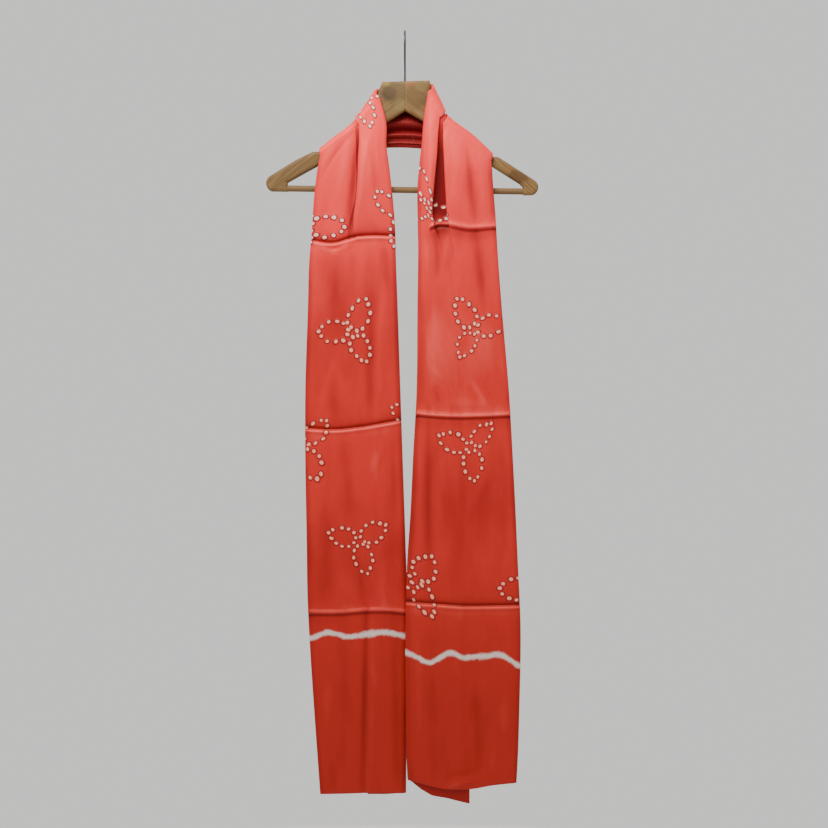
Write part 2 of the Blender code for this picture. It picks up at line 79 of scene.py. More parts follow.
def hermite(places: Array, values: Array, at: Array) -> Array:
    """Smooth curves through rows of values at the same places.

    Args:
        places: The places, rising, one for each column of values.
        values: A row of values for each curve.
        at: A row of places for each curve.

    Returns:
        The curves' values, shaped like at.
    """
    slopes = np.gradient(values, places, axis=1)
    at = np.clip(at, places[0], places[-1])
    cell = np.clip(np.searchsorted(places, at) - 1, 0, len(places) - 2)
    span = places[cell + 1] - places[cell]
    share = (at - places[cell]) / span
    rise = share * share * (3 - 2 * share)

    def pick(rows: Array, column: Array) -> Array:
        """Take a column of each row."""
        if len(rows) == 1:
            return rows[0][column]
        return np.take_along_axis(rows, column, axis=1)

    direct = pick(values, cell) * (1 - rise) + pick(values, cell + 1) * rise
    bend = (1 - share) * pick(slopes, cell) - share * pick(slopes, cell + 1)
    return direct + span * share * (1 - share) * bend


def straight(table: Table, at: Array) -> Array:
    """Read a table of (place, value) rows with straight runs between them."""
    places, values = np.array(table, float).T
    return np.interp(at, places, values)


def bumps(table: Table, at: Array) -> Array:
    """The sum of the rounded bumps in a table of (height, middle, half width) rows."""
    return sum(height * np.exp(-((at - middle) / wide) ** 2) for height, middle, wide in table)


def unit(vectors: Array) -> Array:
    """The vectors at length 1."""
    return vectors / np.maximum(np.linalg.norm(vectors, axis=-1, keepdims=True), 1e-9)


def lengths(points: Array, axis: int = 0) -> Array:
    """How far each point lies from its line's start, where the lines run along one axis of the array."""
    steps = np.linalg.norm(np.diff(points, axis=axis), axis=-1)
    return np.insert(np.cumsum(steps, axis=axis), 0, 0.0, axis=axis)


def arch(at: Array, power: float, clear: float = 0.0) -> Array:
    """Half a wave over 0 to 1: the lower the power, the fuller it is. It may keep clear of both zeros."""
    return np.sin(np.pi * np.clip(at, clear, 1 - clear)) ** power


def stack(x: Array, y: Array, z: Array) -> Array:
    """Points from their three coordinates, which may be of any shapes that fit together."""
    return np.stack(np.broadcast_arrays(x, y, z), axis=-1)


# --- rows of the drape's tables ---------------------------------------------------------------
def table_of(kind: type, *entries: tuple) -> tuple:
    """A table of named rows, from plain tuples."""
    return tuple(kind(*entry) for entry in entries)


class Edges(NamedTuple):
    """X of the band's long edges at one height, and of the fold between them."""

    z: float
    outer: float
    fold: float
    inner: float


class Line(NamedTuple):
    """Height of a line at five even places across a stretch, how far it stands forward, and its inner end."""

    outer: float
    outer_mid: float
    middle: float
    inner_mid: float
    inner: float
    swell: float = 0.0
    end: float = 2.0


class Knot(NamedTuple):
    """A point of the front ply's section: where it lies across the band, and its share of the fold's height.

    A place is a number across the band, or a distance from one of the two lips of the fold.
    """

    column: float
    lip: int
    across: float
    height: float


class Lips(NamedTuple):
    """Where the two lips of the fold lie across the band at one height, and how far the fold has formed."""

    z: float
    first: float
    second: float
    formed: float


class Wrinkle(NamedTuple):
    """A ridge, or a trough where its height is negative, from one (x, z) point to another."""

    x0: float
    z0: float
    x1: float
    z1: float
    height: float
    width: float
    bow: float = 0.0


class Motif(NamedTuple):
    """A trefoil of tied dots: its centre, the way its first petal points, and its size."""

    x: float
    z: float
    turn: float
    size: float = 1.0


class Ply(NamedTuple):
    """One ply: its place in the stack in pitches, and its shares of the folds and of both sides' wrinkles."""

    place: float
    front_share: float
    under_share: float
    wrinkles: float
    back_wrinkles: float


FRONT_PLY, HALF_PLY = Ply(1.5, 1.0, 0.0, 1.0, 0.05), Ply(0.5, 0.0, 1.0, 0.75, 0.3)
MIDDLE_PLY, BACK_PLY = Ply(-0.5, 0.0, 0.6, 0.4, 0.5), Ply(-1.5, 0.0, 0.15, 0.1, 1.0)
Place = Callable[[Array, Ply], Array]   # the points of a ply at places across the band


# --- the cloth --------------------------------------------------------------------------------
WALL = 0.45
WALL_EDGES = 70.0               # degrees: the wall's own edges stay sharp
HEM_DEPTH = 7.5
HEM_TURN = 0.9                  # from the cloth to its turned end behind it
FREE_EDGE = 0.5                 # the cloth's free edge lies at mid-width, under the front ply
SELVEDGE = 0.04                 # the other long edge lies just inside the outer fold, on the back ply
STEP, STEP_FALL = 0.04, 0.6     # the front ply falls off the free edge: half width, and height in pitches
EDGE_PROBE = 0.05               # across the band: from an edge to where its direction is read
EDGE_ROOM = 0.5                 # half the wall that the band's edges were laid out for
INNER_ROOM = 1.5                # radius of the widest turn at the inner edge, in pitches
PITCH_BY_HEIGHT = ((-1254, 3.1), (-900, 2.7), (-420, 2.5), (-250, 1.6), (-120, 1.5))

# --- its storage creases, with bumps as rows of (height, middle, half width) ------------------
CREASE_SWELL, CREASE_FADE = 0.38, 13.0      # a crease's soft swell: its height, and how far it fades
CREASE_STEP = ((0.75, 2.2, 2.8), (-0.45, -2.6, 2.6))
# The light beside a crease that stands out, and beside one that lies in.
RIDGE_LIGHT = ((0.9, 1.6, 2.0), (-0.8, -3.4, 2.9), (0.2, 9, 8.0), (-0.2, -10, 9.0))
TROUGH_LIGHT = ((0.9, -2.0, 2.0), (-0.8, 3.0, 2.9), (-0.2, 9, 8.0), (0.2, -10, 9.0))
CREASE_STOP = 0.12              # across the band: where a crease fades out at a lapel

# --- how it lies over the arms ----------------------------------------------------------------
CREST_PITCH = 1.5               # from ply to ply in the turn over an arm
CREST_RADIUS = 10.25            # of that turn, midway through the plies
CREST_SQUARE = 0.14             # how much fuller than a half circle the turn is
CREST_INSET = 9.6               # from the crest line in to the turn's centre
CREST_REACH = 5.0               # along the crest line to either side, to find its direction
CREST_HELIX, BACK_HELIX = 10.0, 4.0     # how far the cloth slides along the arm, in front and behind
CREST_FOLDS = 0.5               # share of the folds' height that is left where the cloth meets the arm
CREST_KEEP = 2.8                # how thick the front ply's fold stays behind the arm, flat on itself
NECK_LEAD = 0.35                # how straight the cloth runs on from the arms, as a share of the span
NECK_ARCH = 30.0                # how far the band's outer edge rises in the middle
NECK_BUNCH = 2.0                # how far the outermost ply bulges in its two soft rolls
NECK_BACK = 5.3                 # how far the bunched band stands back from where it leaves the arms

# --- painted shade and highlight on the cloth -------------------------------------------------
NECK_SHADE = -5.2               # painted shade inside the neck
NECK_SHADE_ACROSS = ((0, 1.05), (1, 0.85))      # share of it across the band
NECK_SHADE_LEAD, NECK_SHADE_ROWS = 10, 6        # rows before the neck where it starts, and rows it takes
FRONT_LIGHT_DEPTH = 8.0         # over the arms the folds' light fades over this much depth
EDGE_SHADE, EDGE_SHADE_WIDTH = -1.5, 0.025      # where the band turns away at its edges
HIDDEN_SHADE = -2.6             # on the ply inside, which looks out below the right end
RIDGE_SHARE, HOLLOW_SHARE = 0.6, 0.9    # of a listed fold's height, for its painted highlight and shade
FOLD_MIDDLE, FOLD_HALF = 0.51, 0.09     # across the front ply: its deep fold
FOLD_DEEP = 0.75                # share of the fold's height up to which the fold's hollow is shaded
TROUGH_HEIGHT = 12.0            # the fold's height at which its hollow gets its full shade


class Ripple(NamedTuple):
    """A soft wave across the hanging cloth: its height, radians across the band, and how it drifts."""

    height: float
    waves: float
    drift: float


RIPPLES = (Ripple(0.7, 9.5, 1.0), Ripple(0.35, 17.0, -1.7))
RIPPLE_LENGTH = 170.0           # height over which a wave drifts by one radian
RIPPLE_UNDER = 0.6              # share of the ripple that the plies under the front one take
HANG_TOP, HANG_FULL = -250.0, -400.0    # heights between which the ripple and the step grow to full size
LINE_PLACES = (0, 0.25, 0.5, 0.75, 1)   # across the band, for the heights that a Line gives
WRINKLE_START, WRINKLE_RUN = 0.08, 0.84     # the part of half a wave that its height follows along its line
WRINKLE_SIDES = 1.6             # power of the distance that its height falls off with to its sides


@dataclass(frozen=True)
class Hang:
    """How one end of the stole hangs. Its tables by height run from the hem upwards."""

    inward: float
    edges: tuple[Edges, ...]
    neckline: Table
    lines: tuple[Line, ...]
    crest: Table
    crest_places: tuple[float, float, float]
    fold_height: Table
    section: tuple[Knot, ...]
    lips: tuple[Lips, ...]
    under: Table
    stand_off: Table
    under_drop: Table
    ripple_phase: float
    # how dark the painted shade in the front ply's deep fold gets
    trough: float
    # by height: makes the painted shade and highlight lighter or darker there
    tone: Table
    wrinkles: tuple[Wrinkle, ...]
    back_wrinkles: tuple[Wrinkle, ...]

    def pitch(self, z: Array) -> Array:
        """Distance from ply to ply."""
        return smooth(PITCH_BY_HEIGHT, z)

    def heights(self, across: Array) -> Array:
        """Heights of all the lines at places across the band."""
        return np.stack([smooth(tuple(zip(LINE_PLACES, line)), across) for line in self.lines])

    def crest_at(self, distance: Array) -> tuple[Array, Array]:
        """Points inside the turn over the arm, and the outward directions there.

        Args:
            distance: Distances along the crest line from its outer end.

        Returns:
            The points and the directions.
        """
        points = np.array(self.crest, float)
        places = lengths(points)
        inside = np.clip(distance, CREST_REACH, places[-1] - CREST_REACH)

        def on_line(at: Array) -> Array:
            """A point of the crest line."""
            x, z = (smooth(tuple(zip(places, points[:, axis])), at) for axis in (0, 1))
            return stack(x, 0.0, z)

        along = unit(on_line(inside + CREST_REACH) - on_line(inside - CREST_REACH))
        out = stack(-along[..., 2], 0.0, along[..., 0]) * self.inward
        reach = (np.asarray(distance) - inside)[..., None]
        return on_line(inside) + along * reach - out * CREST_INSET, out

    def crest_point(self, across: Array, shift: Array) -> tuple[Array, Array]:
        """The same, at places across the band, shifted along the arm."""
        outer, fold, inner = self.crest_places
        return self.crest_at(straight(((0, outer), (FREE_EDGE, fold), (1, inner)), across) + shift)

    def edge_x(self, across: Array, z: Array) -> Array:
        """Find places across the band, with room left for the turns at both edges.

        Args:
            across: The places, from 0 to 1.
            z: Their heights.

        Returns:
            Their x.
        """
        outer, fold, inner = (smooth([(row.z, row[column]) for row in self.edges], z) for column in (1, 2, 3))
        pitch = self.pitch(z)
        outer = outer + self.inward * (pitch + EDGE_ROOM)
        inner = inner - self.inward * (INNER_ROOM * pitch + EDGE_ROOM)
        near = outer + (fold - outer) * across / FREE_EDGE
        far = fold + (inner - fold) * (across - FREE_EDGE) / (1 - FREE_EDGE)
        return np.where(across < FREE_EDGE, near, far)

    def section_at(self, columns: Array, z: Array) -> tuple[Array, Array]:
        """The front ply's section at each height.

        Args:
            columns: Places along the ply from its outer edge to its inner edge.
            z: Height of each row.

        Returns:
            Places across the band and shares of the fold's height, a row for each height.
        """
        places = np.array([knot.column for knot in self.section])
        lips = [smooth([(row.z, row[column]) for row in self.lips], z) for column in (1, 2, 3)]
        starts = (np.zeros_like(z), lips[0], lips[1])
        across = np.stack([starts[knot.lip] + knot.across for knot in self.section], axis=1)
        height = np.broadcast_to([knot.height for knot in self.section], across.shape)
        formed = lips[2][:, None]
        flat_height = np.interp(places, places[[0, -1]], height[0, [0, -1]])[None]
        across = places[None] + (across - places[None]) * formed
        height = flat_height + (height - flat_height) * formed
        at = np.broadcast_to(columns, (len(z), len(columns)))
        return hermite(places, across, at), hermite(places, height, at)

    def relief(self, wrinkles: tuple[Wrinkle, ...], x: Array, z: Array) -> Array:
        """Add up the listed wrinkles.

        Args:
            wrinkles: The wrinkles of one side.
            x: Places on the band.
            z: Their heights.

        Returns:
            How far the wrinkles push the cloth out there.
        """
        total = np.zeros(np.broadcast(x, z).shape)
        for fold in wrinkles:
            run = np.array((fold.x1 - fold.x0, fold.z1 - fold.z0))
            length = np.hypot(*run)
            along = ((x - fold.x0) * run[0] + (z - fold.z0) * run[1]) / length ** 2
            off = ((x - fold.x0) * run[1] - (z - fold.z0) * run[0]) / length
            inside = np.clip(along, 0, 1)
            off = off - fold.bow * 4 * inside * (1 - inside)
            past = np.maximum(np.abs(along - inside) * length - fold.width, 0) / fold.width
            fade = arch(along * WRINKLE_RUN + WRINKLE_START, power=0.7, clear=0.02) * np.exp(-past)
            total += fold.height * fade * np.exp(-np.abs(off / fold.width) ** WRINKLE_SIDES)
        return total

    def outwards(self, across: Array, z: Array, x: Array, ply: Ply, fold_share: Array, left: Array) -> Array:
        """Find how far forward of the arms' mid-plane the cloth lies.

        Args:
            across: Places across the band.
            z: Their heights.
            x: Their x.
            ply: The ply.
            fold_share: Its shares of the fold's height.
            left: Share of all its folds that is left.

        Returns:
            The distances forward.
        """
        pitch = self.pitch(z)
        fold = np.maximum(smooth(self.fold_height, z), 0.0) * fold_share
        phase = self.ripple_phase + z / RIPPLE_LENGTH
        ripple = sum(wave.height * (1 + np.sin(wave.waves * across + wave.drift * phase)) for wave in RIPPLES)
        ripple = ripple * arch(across, power=0.5) * (ply.front_share + RIPPLE_UNDER * ply.under_share)
        off_the_edge = 1 - ease((across - FREE_EDGE + STEP) / (2 * STEP))
        step = -STEP_FALL * pitch * off_the_edge * ply.front_share
        hanging = ease((HANG_TOP - z) / (HANG_TOP - HANG_FULL))
        hand = ply.wrinkles * self.relief(self.wrinkles, x, z)
        hand = hand - ply.back_wrinkles * self.relief(self.back_wrinkles, x, z)
        return (smooth(self.stand_off, z) + ply.place * pitch + hanging * (ripple + step)
                + self.creases(across, z) + (fold + hand * arch(across, power=0.35, clear=0.012)) * left)

    def creases(self, across: Array, z: Array) -> Array:
        """Add up the storage creases: each one is a sharp step on a softer swell.

        Args:
            across: Places across the band.
            z: Their heights.

        Returns:
            How far the creases push the plies forward there.
        """
        push = np.zeros(np.broadcast(across, z).shape)
        for line, height in zip(self.lines, self.heights(across)):
            if line.swell:
                off = z - height
                push += line.swell * self.crease_share(line, across) * (
                    CREASE_SWELL * np.exp(-np.abs(off) / CREASE_FADE) + bumps(CREASE_STEP, off))
        return push

    @staticmethod
    def crease_share(line: Line, across: Array) -> Array:
        """Share of a crease that is left at places across the band: it may stop at a lapel."""
        return ease((line.end - across) / CREASE_STOP)

    def crease_light(self, across: Array, z: Array, on_front: bool) -> Array:
        """Add up the bright lip and the dark hollow beside each crease, and the light that fades from them.

        Args:
            across: Places across the band.
            z: Their heights.
            on_front: Whether the ply faces forward; the back ply's creases are seen from behind.

        Returns:
            How far the cloth seems to stand out.
        """
        light = np.zeros(np.broadcast(across, z).shape)
        for line, height in zip(self.lines, self.heights(across)):
            if line.swell:
                shape = RIDGE_LIGHT if (line.swell > 0) == on_front else TROUGH_LIGHT
                light += abs(line.swell) * self.crease_share(line, across) * bumps(shape, z - height)
        return light

    def fold_share(self, across: Array, ply: Ply) -> Array:
        """Share of the fold's height that a ply under the front one takes."""
        return ply.under_share * straight(self.under, across)

    def front(self, rows: Array, across: Array, ply: Ply, fold_share: Array) -> Array:
        """Points of a ply on the front of a stretch.

        Args:
            rows: (line, share, lift) of each row: a share of the way from a line to the next, and a lift.
            across: Places across the band, a row for each row or one for all.
            ply: The ply.
            fold_share: Its shares of the fold's height.

        Returns:
            The points, by row and column.
        """
        line, share, lift = rows.T
        line = line.astype(int)
        across = np.broadcast_to(across, (len(rows), across.shape[-1]))
        fold_share = np.broadcast_to(fold_share, across.shape)
        heights = self.heights(across)
        index = np.arange(len(rows))
        low, share, lift = heights[line, index], share[:, None], lift[:, None]
        shoulder = len(self.lines) - 1
        high = heights[np.minimum(line + 1, shoulder), index]
        drop = np.zeros_like(across)
        if ply is HALF_PLY:
            drop = straight(self.under_drop, across) * (1 - share) ** 2 * (line == 0)[:, None]
        z = (low + drop) + (high - low - drop) * share + lift
        x = self.edge_x(across, z)

        fan = line == shoulder
        if fan.any():
            below = heights[shoulder][fan]
            start = stack(self.edge_x(across[fan], below), 0.0, below)
            end, _ = self.crest_point(across[fan], -CREST_HELIX)
            spot = start + (end - start) * share[fan][..., None]
            inner_low = self.heights(np.array([1.0]))[shoulder, 0]
            inner_high = self.crest_point(np.array([1.0]), -CREST_HELIX)[0][0]
            inner_z = inner_low + (inner_high[2] - inner_low) * share[fan]
            start_x = self.edge_x(np.array([1.0]), np.array([inner_low]))[0]
            direct = start_x + (inner_high[0] - start_x) * share[fan]
            room = INNER_ROOM * self.pitch(inner_z) + EDGE_ROOM
            wanted = smooth(self.neckline, inner_z) - self.inward * room
            bend = (wanted - direct) * np.sin(np.pi * share[fan])
            x[fan] = spot[..., 0] + across[fan] ** 2 * bend
            z[fan] = spot[..., 2]
        left = np.where(fan[:, None], 1 - (1 - CREST_FOLDS) * share ** 2, 1.0)
        return stack(x, -self.outwards(across, z, x, ply, fold_share, left), z)

    def turn(self, angles: Array, across: Array, ply: Ply, fold_share: Array) -> Array:
        """Points of a ply where it turns over the arm.

        Args:
            angles: The way round the arm, from the front (0) to the back (pi).
            across: Places across the band, a row for each angle or one for all.
            ply: The ply.
            fold_share: Its shares of the fold's height.

        Returns:
            The points, by row and column.
        """
        across = np.broadcast_to(across, (len(angles), across.shape[-1]))
        fold_share = np.broadcast_to(fold_share, across.shape)
        angle = angles[:, None]
        helix = np.where(angle < math.pi / 2, CREST_HELIX, BACK_HELIX)
        centre, out = self.crest_point(across, -helix * np.cos(angle))
        start = self.crest_point(across, -CREST_HELIX)[0]
        before = np.cos(angle / 2) ** 4
        height = start[..., 2]
        folds = (self.outwards(across, height, start[..., 0], ply, fold_share, 1.0)
                 - smooth(self.stand_off, height) - ply.place * self.pitch(height)
                 - self.creases(across, height))
        kept = CREST_KEEP * ply.front_share * fold_share * (1 - before)
        radius = (CREST_RADIUS * (1 + CREST_SQUARE * np.sin(2 * angle) ** 2) + ply.place * CREST_PITCH
                  + folds * (CREST_FOLDS * before) + kept)
        forward = stack(0.0, -radius * np.cos(angle), 0.0)
        return centre + out * (radius * np.sin(angle))[..., None] + forward


LEFT = Hang(
    inward=1.0,
    edges=table_of(
        Edges, (-1254, -140.5, -61, 2.5), (-1119, -150.2, -61, 3.5), (-1020, -156.8, -61, 4.0),
        (-921, -161.5, -61, 4.0), (-846, -162.5, -62, 1.7), (-698, -165.0, -65, -3.3),
        (-599, -165.0, -68, -6.6), (-450, -160.3, -73, -11.6), (-376, -158.0, -80, -14.4),
        (-338, -154.5, -85, -16.0), (-261, -148.5, -74, -23.0), (-211, -142.0, -72, -29.0),
    ),
    neckline=((-231, -26.5), (-195, -31), (-153, -30), (-128, -33), (-104, -41)),
    lines=table_of(
        Line, (-1254, -1253, -1252, -1252, -1252), (-957, -957, -953.5, -953, -956, 3.5),
        (-655, -657, -652, -647, -642, -4.0), (-346, -350, -341, -338, -339, -4.5),
        (-232, -232, -232, -231, -231),
    ),
    crest=((-152, -200), (-138, -193), (-119, -178), (-97, -162), (-79, -145.5), (-67, -132), (-57, -116),
           (-48, -101), (-44, -93)),
    crest_places=(20.5, 99, 150),
    fold_height=((-400, 0), (-362, 1.5), (-335, 5), (-277, 8.5), (-211, 9.5), (-150, 7), (-110, 3)),
    section=table_of(
        Knot, (0.0, 0, 0.0, 0.0), (0.20, 0, 0.20, 0.05), (0.34, 0, 0.35, 0.06), (0.42, 1, -0.06, 0.02),
        (0.47, 1, 0.005, -0.02), (0.50, 2, -0.010, 0.06), (0.515, 2, 0.0, 0.22), (0.53, 2, -0.010, 0.42),
        (0.555, 1, 0.012, 0.60), (0.57, 1, 0.0, 0.80), (0.585, 1, 0.010, 0.98), (0.62, 1, 0.05, 1.08),
        (0.70, 0, 0.68, 1.04), (0.81, 0, 0.81, 0.92), (1.0, 0, 1.0, 0.5),
    ),
    lips=table_of(
        Lips, (-352, 0.49, 0.53, 0.0), (-334, 0.49, 0.545, 0.7), (-318, 0.495, 0.56, 1.0),
        (-150, 0.49, 0.56, 1.0), (-110, 0.49, 0.55, 0.8),
    ),
    under=((0, 0), (0.31, 0.03), (0.46, 0), (0.61, 0), (0.69, 0.5), (0.81, 0.65), (1, 0.4)),
    stand_off=((-1254, 10.25), (-250, 10.25)),
    under_drop=((0.5, -2), (0.75, -2), (1, 0)),
    ripple_phase=0.4,
    trough=3.8,
    tone=((-1254, 0), (-960, -0.1), (-870, -0.9), (-720, 0), (-600, -0.3), (-500, -0.9), (-410, -0.9),
          (-330, 0), (-230, 0.4), (-120, 1.0)),
    wrinkles=table_of(
        Wrinkle,
        # over the arm, down to the top crease
        (-85, -168, -134, -236, -1.9, 4.0, 4.0), (-91, -176, -111, -277, 1.6, 8.0),
        (-78, -172, -90, -324, -4.0, 8.0), (-114, -186, -140, -226, 1.2, 6.0),
        (-64, -192, -81, -328, 2.0, 6.0), (-51, -190, -48, -288, -1.4, 7.0),
        (-64, -186, -54, -248, 0.9, 3.0), (-33, -226, -23, -318, 1.0, 6.0),
        (-132, -250, -136, -336, -1.1, 8.0),
        # top crease to middle crease
        (-146, -352, -115, -367, 1.8, 3.5), (-117, -367, -86, -347, 1.8, 3.5),
        (-128, -357, -101, -357, -1.3, 2.4), (-147, -368, -150, -492, 1.7, 10.0),
        (-116, -378, -109, -500, -1.6, 13.0), (-36, -420, -43, -632, 2.1, 7.0),
        (-55, -440, -56, -626, -1.7, 8.0), (-119, -548, -141, -640, 1.7, 4.5),
        (-119, -548, -91, -612, 1.1, 6.0), (-117, -600, -114, -650, -1.7, 8.0),
        (-33, -342, -28, -428, -1.1, 8.0), (-70, -350, -76, -470, 1.1, 10.0),
        # middle crease to lowest crease
        (-140, -672, -147, -806, 1.3, 9.0), (-99, -672, -91, -806, -1.5, 13.0),
        (-48, -668, -51, -772, 1.4, 9.0), (-54, -724, -30, -672, 0.9, 6.0),
        (-20, -660, -16, -800, -1.2, 7.0), (-128, -800, -132, -945, -1.1, 11.0),
        (-102, -886, -99, -950, 1.1, 9.0), (-76, -868, -67, -950, -1.4, 8.0),
        (-35, -900, -35, -950, 1.7, 9.0), (-70, -700, -64, -850, 0.8, 12.0),
        # lowest crease to the hem
        (-114, -972, -68, -970, 0.9, 2.4), (-63, -950, -69, -1252, -3.2, 5.0),
        (-52, -962, -52, -1250, 1.0, 8.0), (-133, -1064, -123, -1170, 1.6, 12.0),
        (-99, -1018, -98, -1202, -1.1, 12.0), (-17, -965, -12, -1236, -1.6, 8.0),
        (-84, -1130, -88, -1250, 1.0, 8.0), (-120, -1190, -116, -1254, -1.0, 7.0),
    ),
    back_wrinkles=table_of(
        Wrinkle, (-120, -205, -135, -330, -2.0, 7.0), (-95, -200, -90, -345, 1.8, 8.0),
        (-45, -190, -50, -320, -1.6, 7.0), (-70, -360, -80, -520, 1.6, 9.0),
        (-130, -380, -128, -600, -1.7, 9.0), (-30, -350, -36, -560, 1.5, 7.0),
        (-98, -560, -118, -645, 1.6, 5.0), (-98, -560, -74, -640, 1.1, 5.0),
        (-60, -668, -52, -860, -1.8, 9.0), (-130, -680, -138, -900, 1.6, 10.0),
        (-95, -700, -88, -930, -1.3, 12.0), (-25, -690, -28, -940, -1.5, 7.0),
        (-75, -970, -70, -1240, 1.8, 9.0), (-115, -990, -112, -1230, -1.7, 10.0),
        (-35, -975, -30, -1235, -1.5, 8.0), (-140, -1060, -130, -1240, 1.2, 8.0),
        (-96, -966, -48, -969, 0.9, 2.4), (-60, -345, -110, -362, 1.4, 3.5),
    ),
)

RIGHT = Hang(
    inward=-1.0,
    edges=table_of(
        Edges, (-1233, 184.2, 106, 4.0), (-1190, 186.4, 101, 2.0), (-1110, 188.8, 96, 1.0),
        (-970, 190.5, 96, 0.5), (-871, 186.0, 94, 3.5), (-797, 182.8, 93, 8.5), (-698, 178.0, 92, 13.2),
        (-599, 172.5, 91, 18.5), (-450, 160.0, 82, 20.2), (-351, 152.2, 66, 22.0),
        (-302, 148.5, 57, 22.5), (-261, 145.0, 57, 22.5), (-211, 141.9, 58, 26.4),
    ),
    neckline=((-231, 23.5), (-195, 28), (-160, 29.5), (-130, 31.5), (-98, 38)),
    lines=table_of(
        Line, (-1233, -1237, -1243, -1241, -1229), (-944, -945, -945, -942, -939, -4.0),
        (-632, -634, -635, -634, -631, 4.0), (-323, -326, -319, -325, -326, 4.0, 0.81),
        (-234, -234, -233, -232, -231),
    ),
    crest=((155, -210), (141, -201), (124, -187), (104, -170.5), (80, -154), (68, -143), (60, -128),
           (53, -112), (45.5, -93), (43, -85.5)),
    crest_places=(21.0, 120, 169),
    fold_height=((-410, 0), (-350, 4), (-325, 9), (-294, 13), (-195, 12), (-150, 9), (-110, 4)),
    section=table_of(
        Knot, (0.0, 0, 0.0, 0.2), (0.09, 0, 0.09, 0.5), (0.20, 0, 0.20, 0.80), (0.31, 0, 0.31, 0.97),
        (0.38, 1, -0.05, 1.0), (0.41, 1, -0.012, 0.93), (0.425, 1, 0.0, 0.80), (0.44, 1, -0.006, 0.58),
        (0.455, 1, -0.016, 0.30), (0.475, 1, -0.006, 0.04), (0.49, 1, 0.02, -0.02),
        (0.53, 2, -0.025, -0.02), (0.545, 2, 0.010, 0.04), (0.56, 2, 0.020, 0.30),
        (0.575, 2, 0.008, 0.58), (0.59, 2, 0.0, 0.80), (0.605, 2, 0.014, 0.93), (0.64, 2, 0.06, 1.02),
        (0.81, 0, 0.83, 0.92), (1.0, 0, 1.0, 0.4),
    ),
    lips=table_of(
        Lips, (-362, 0.42, 0.66, 0.0), (-338, 0.425, 0.665, 0.35), (-325, 0.43, 0.675, 0.8),
        (-300, 0.433, 0.68, 1.0), (-250, 0.450, 0.635, 1.0), (-211, 0.466, 0.595, 1.0),
        (-195, 0.472, 0.582, 1.0), (-150, 0.485, 0.555, 1.0), (-120, 0.49, 0.545, 0.9),
        (-90, 0.49, 0.54, 0.7),
    ),
    under=((0, 0.1), (0.09, 0.3), (0.31, 0.55), (0.40, 0.2), (0.44, 0), (0.70, 0), (0.78, 0.5), (0.87, 0.6),
           (1, 0.35)),
    stand_off=((-1254, 23.5), (-850, 22.5), (-560, 13.5), (-400, 10.25), (-250, 10.25)),
    under_drop=((0.5, -24), (0.6, -19), (0.7, -15), (0.82, -15), (0.92, -9), (1, 0)),
    ripple_phase=2.3,
    trough=4.4,
    tone=((-1254, 0), (-1000, 0.1), (-871, -0.2), (-785, -1.5), (-680, -0.5), (-620, 0.3), (-541, 1.3),
          (-410, -0.1), (-330, 0), (-244, -0.4), (-200, 0.2), (-120, 0.8)),
    wrinkles=table_of(
        Wrinkle,
        # over the arm, down to the top crease
        (41, -120, 38, -270, 2.1, 5.0), (82, -160, 86, -302, 1.5, 8.0), (101, -184, 114, -314, -2.5, 6.0),
        (123, -200, 134, -312, 1.4, 6.0), (68, -142, 63, -172, -1.2, 3.0),
        (84, -317, 116, -325, 0.6, 2.4), (128, -318, 143, -312, 1.1, 3.0),
        (138, -215, 146, -300, -0.9, 6.0),
        # top crease to middle crease
        (36, -334, 38, -444, 2.1, 7.0), (53, -331, 55, -403, -2.1, 6.0), (71, -336, 67, -382, 1.6, 6.0),
        (118, -331, 130, -458, -2.5, 8.0), (147, -342, 155, -462, 1.4, 7.0),
        (92, -358, 78, -476, 1.1, 12.0), (30, -440, 30, -618, -1.9, 5.0), (48, -440, 48, -562, 1.5, 8.0),
        (110, -578, 136, -620, 1.8, 3.5), (127, -578, 150, -616, -1.1, 6.0),
        (41, -552, 62, -572, 1.1, 4.0), (48, -586, 58, -616, -1.8, 6.0), (66, -611, 140, -613, 1.1, 6.0),
        (35, -612, 43, -631, -1.8, 3.0), (150, -480, 160, -610, -1.0, 8.0),
        (96, -500, 90, -590, -0.9, 12.0),
        # middle crease to lowest crease
        (25, -655, 23, -872, 1.5, 6.0), (38, -648, 40, -890, -1.9, 6.0), (58, -704, 55, -906, 1.0, 9.0),
        (82, -770, 84, -922, -1.1, 12.0), (170, -670, 180, -922, 1.4, 8.0),
        (107, -806, 140, -738, -0.8, 8.0), (134, -870, 140, -936, 1.0, 12.0),
        (120, -645, 128, -740, 0.9, 11.0),
        # lowest crease to the hem
        (21, -952, 23, -1220, 1.5, 7.0), (44, -1002, 48, -1220, -1.1, 9.0),
        (117, -1084, 121, -1204, -1.7, 9.0), (162, -1084, 160, -1154, 1.5, 10.0),
        (140, -1150, 147, -1228, 1.0, 7.0), (62, -1243, 117, -1226, 2.2, 4.0),
        (70, -1222, 112, -1214, -1.2, 5.0), (84, -960, 88, -1100, 0.9, 12.0),
        (140, -955, 136, -1060, -0.8, 10.0),
    ),
    back_wrinkles=table_of(
        Wrinkle, (120, -215, 138, -330, -2.0, 7.0), (92, -205, 88, -320, 1.7, 8.0),
        (46, -185, 44, -310, -1.6, 6.0), (60, -345, 66, -500, 1.7, 9.0),
        (130, -345, 142, -560, -1.8, 9.0), (100, -350, 96, -480, 1.2, 10.0),
        (88, -560, 112, -622, 1.7, 4.5), (40, -500, 42, -620, -1.5, 8.0), (70, -640, 62, -840, -1.8, 9.0),
        (150, -650, 160, -900, 1.6, 10.0), (110, -660, 104, -930, -1.3, 12.0),
        (30, -660, 28, -930, 1.5, 7.0), (80, -955, 84, -1215, 1.8, 9.0),
        (125, -960, 130, -1225, -1.7, 10.0), (35, -955, 34, -1220, -1.5, 8.0),
        (165, -980, 163, -1225, 1.3, 9.0), (60, -948, 120, -953, 0.9, 2.4),
        (70, -330, 118, -338, 1.4, 3.5),
    ),
)

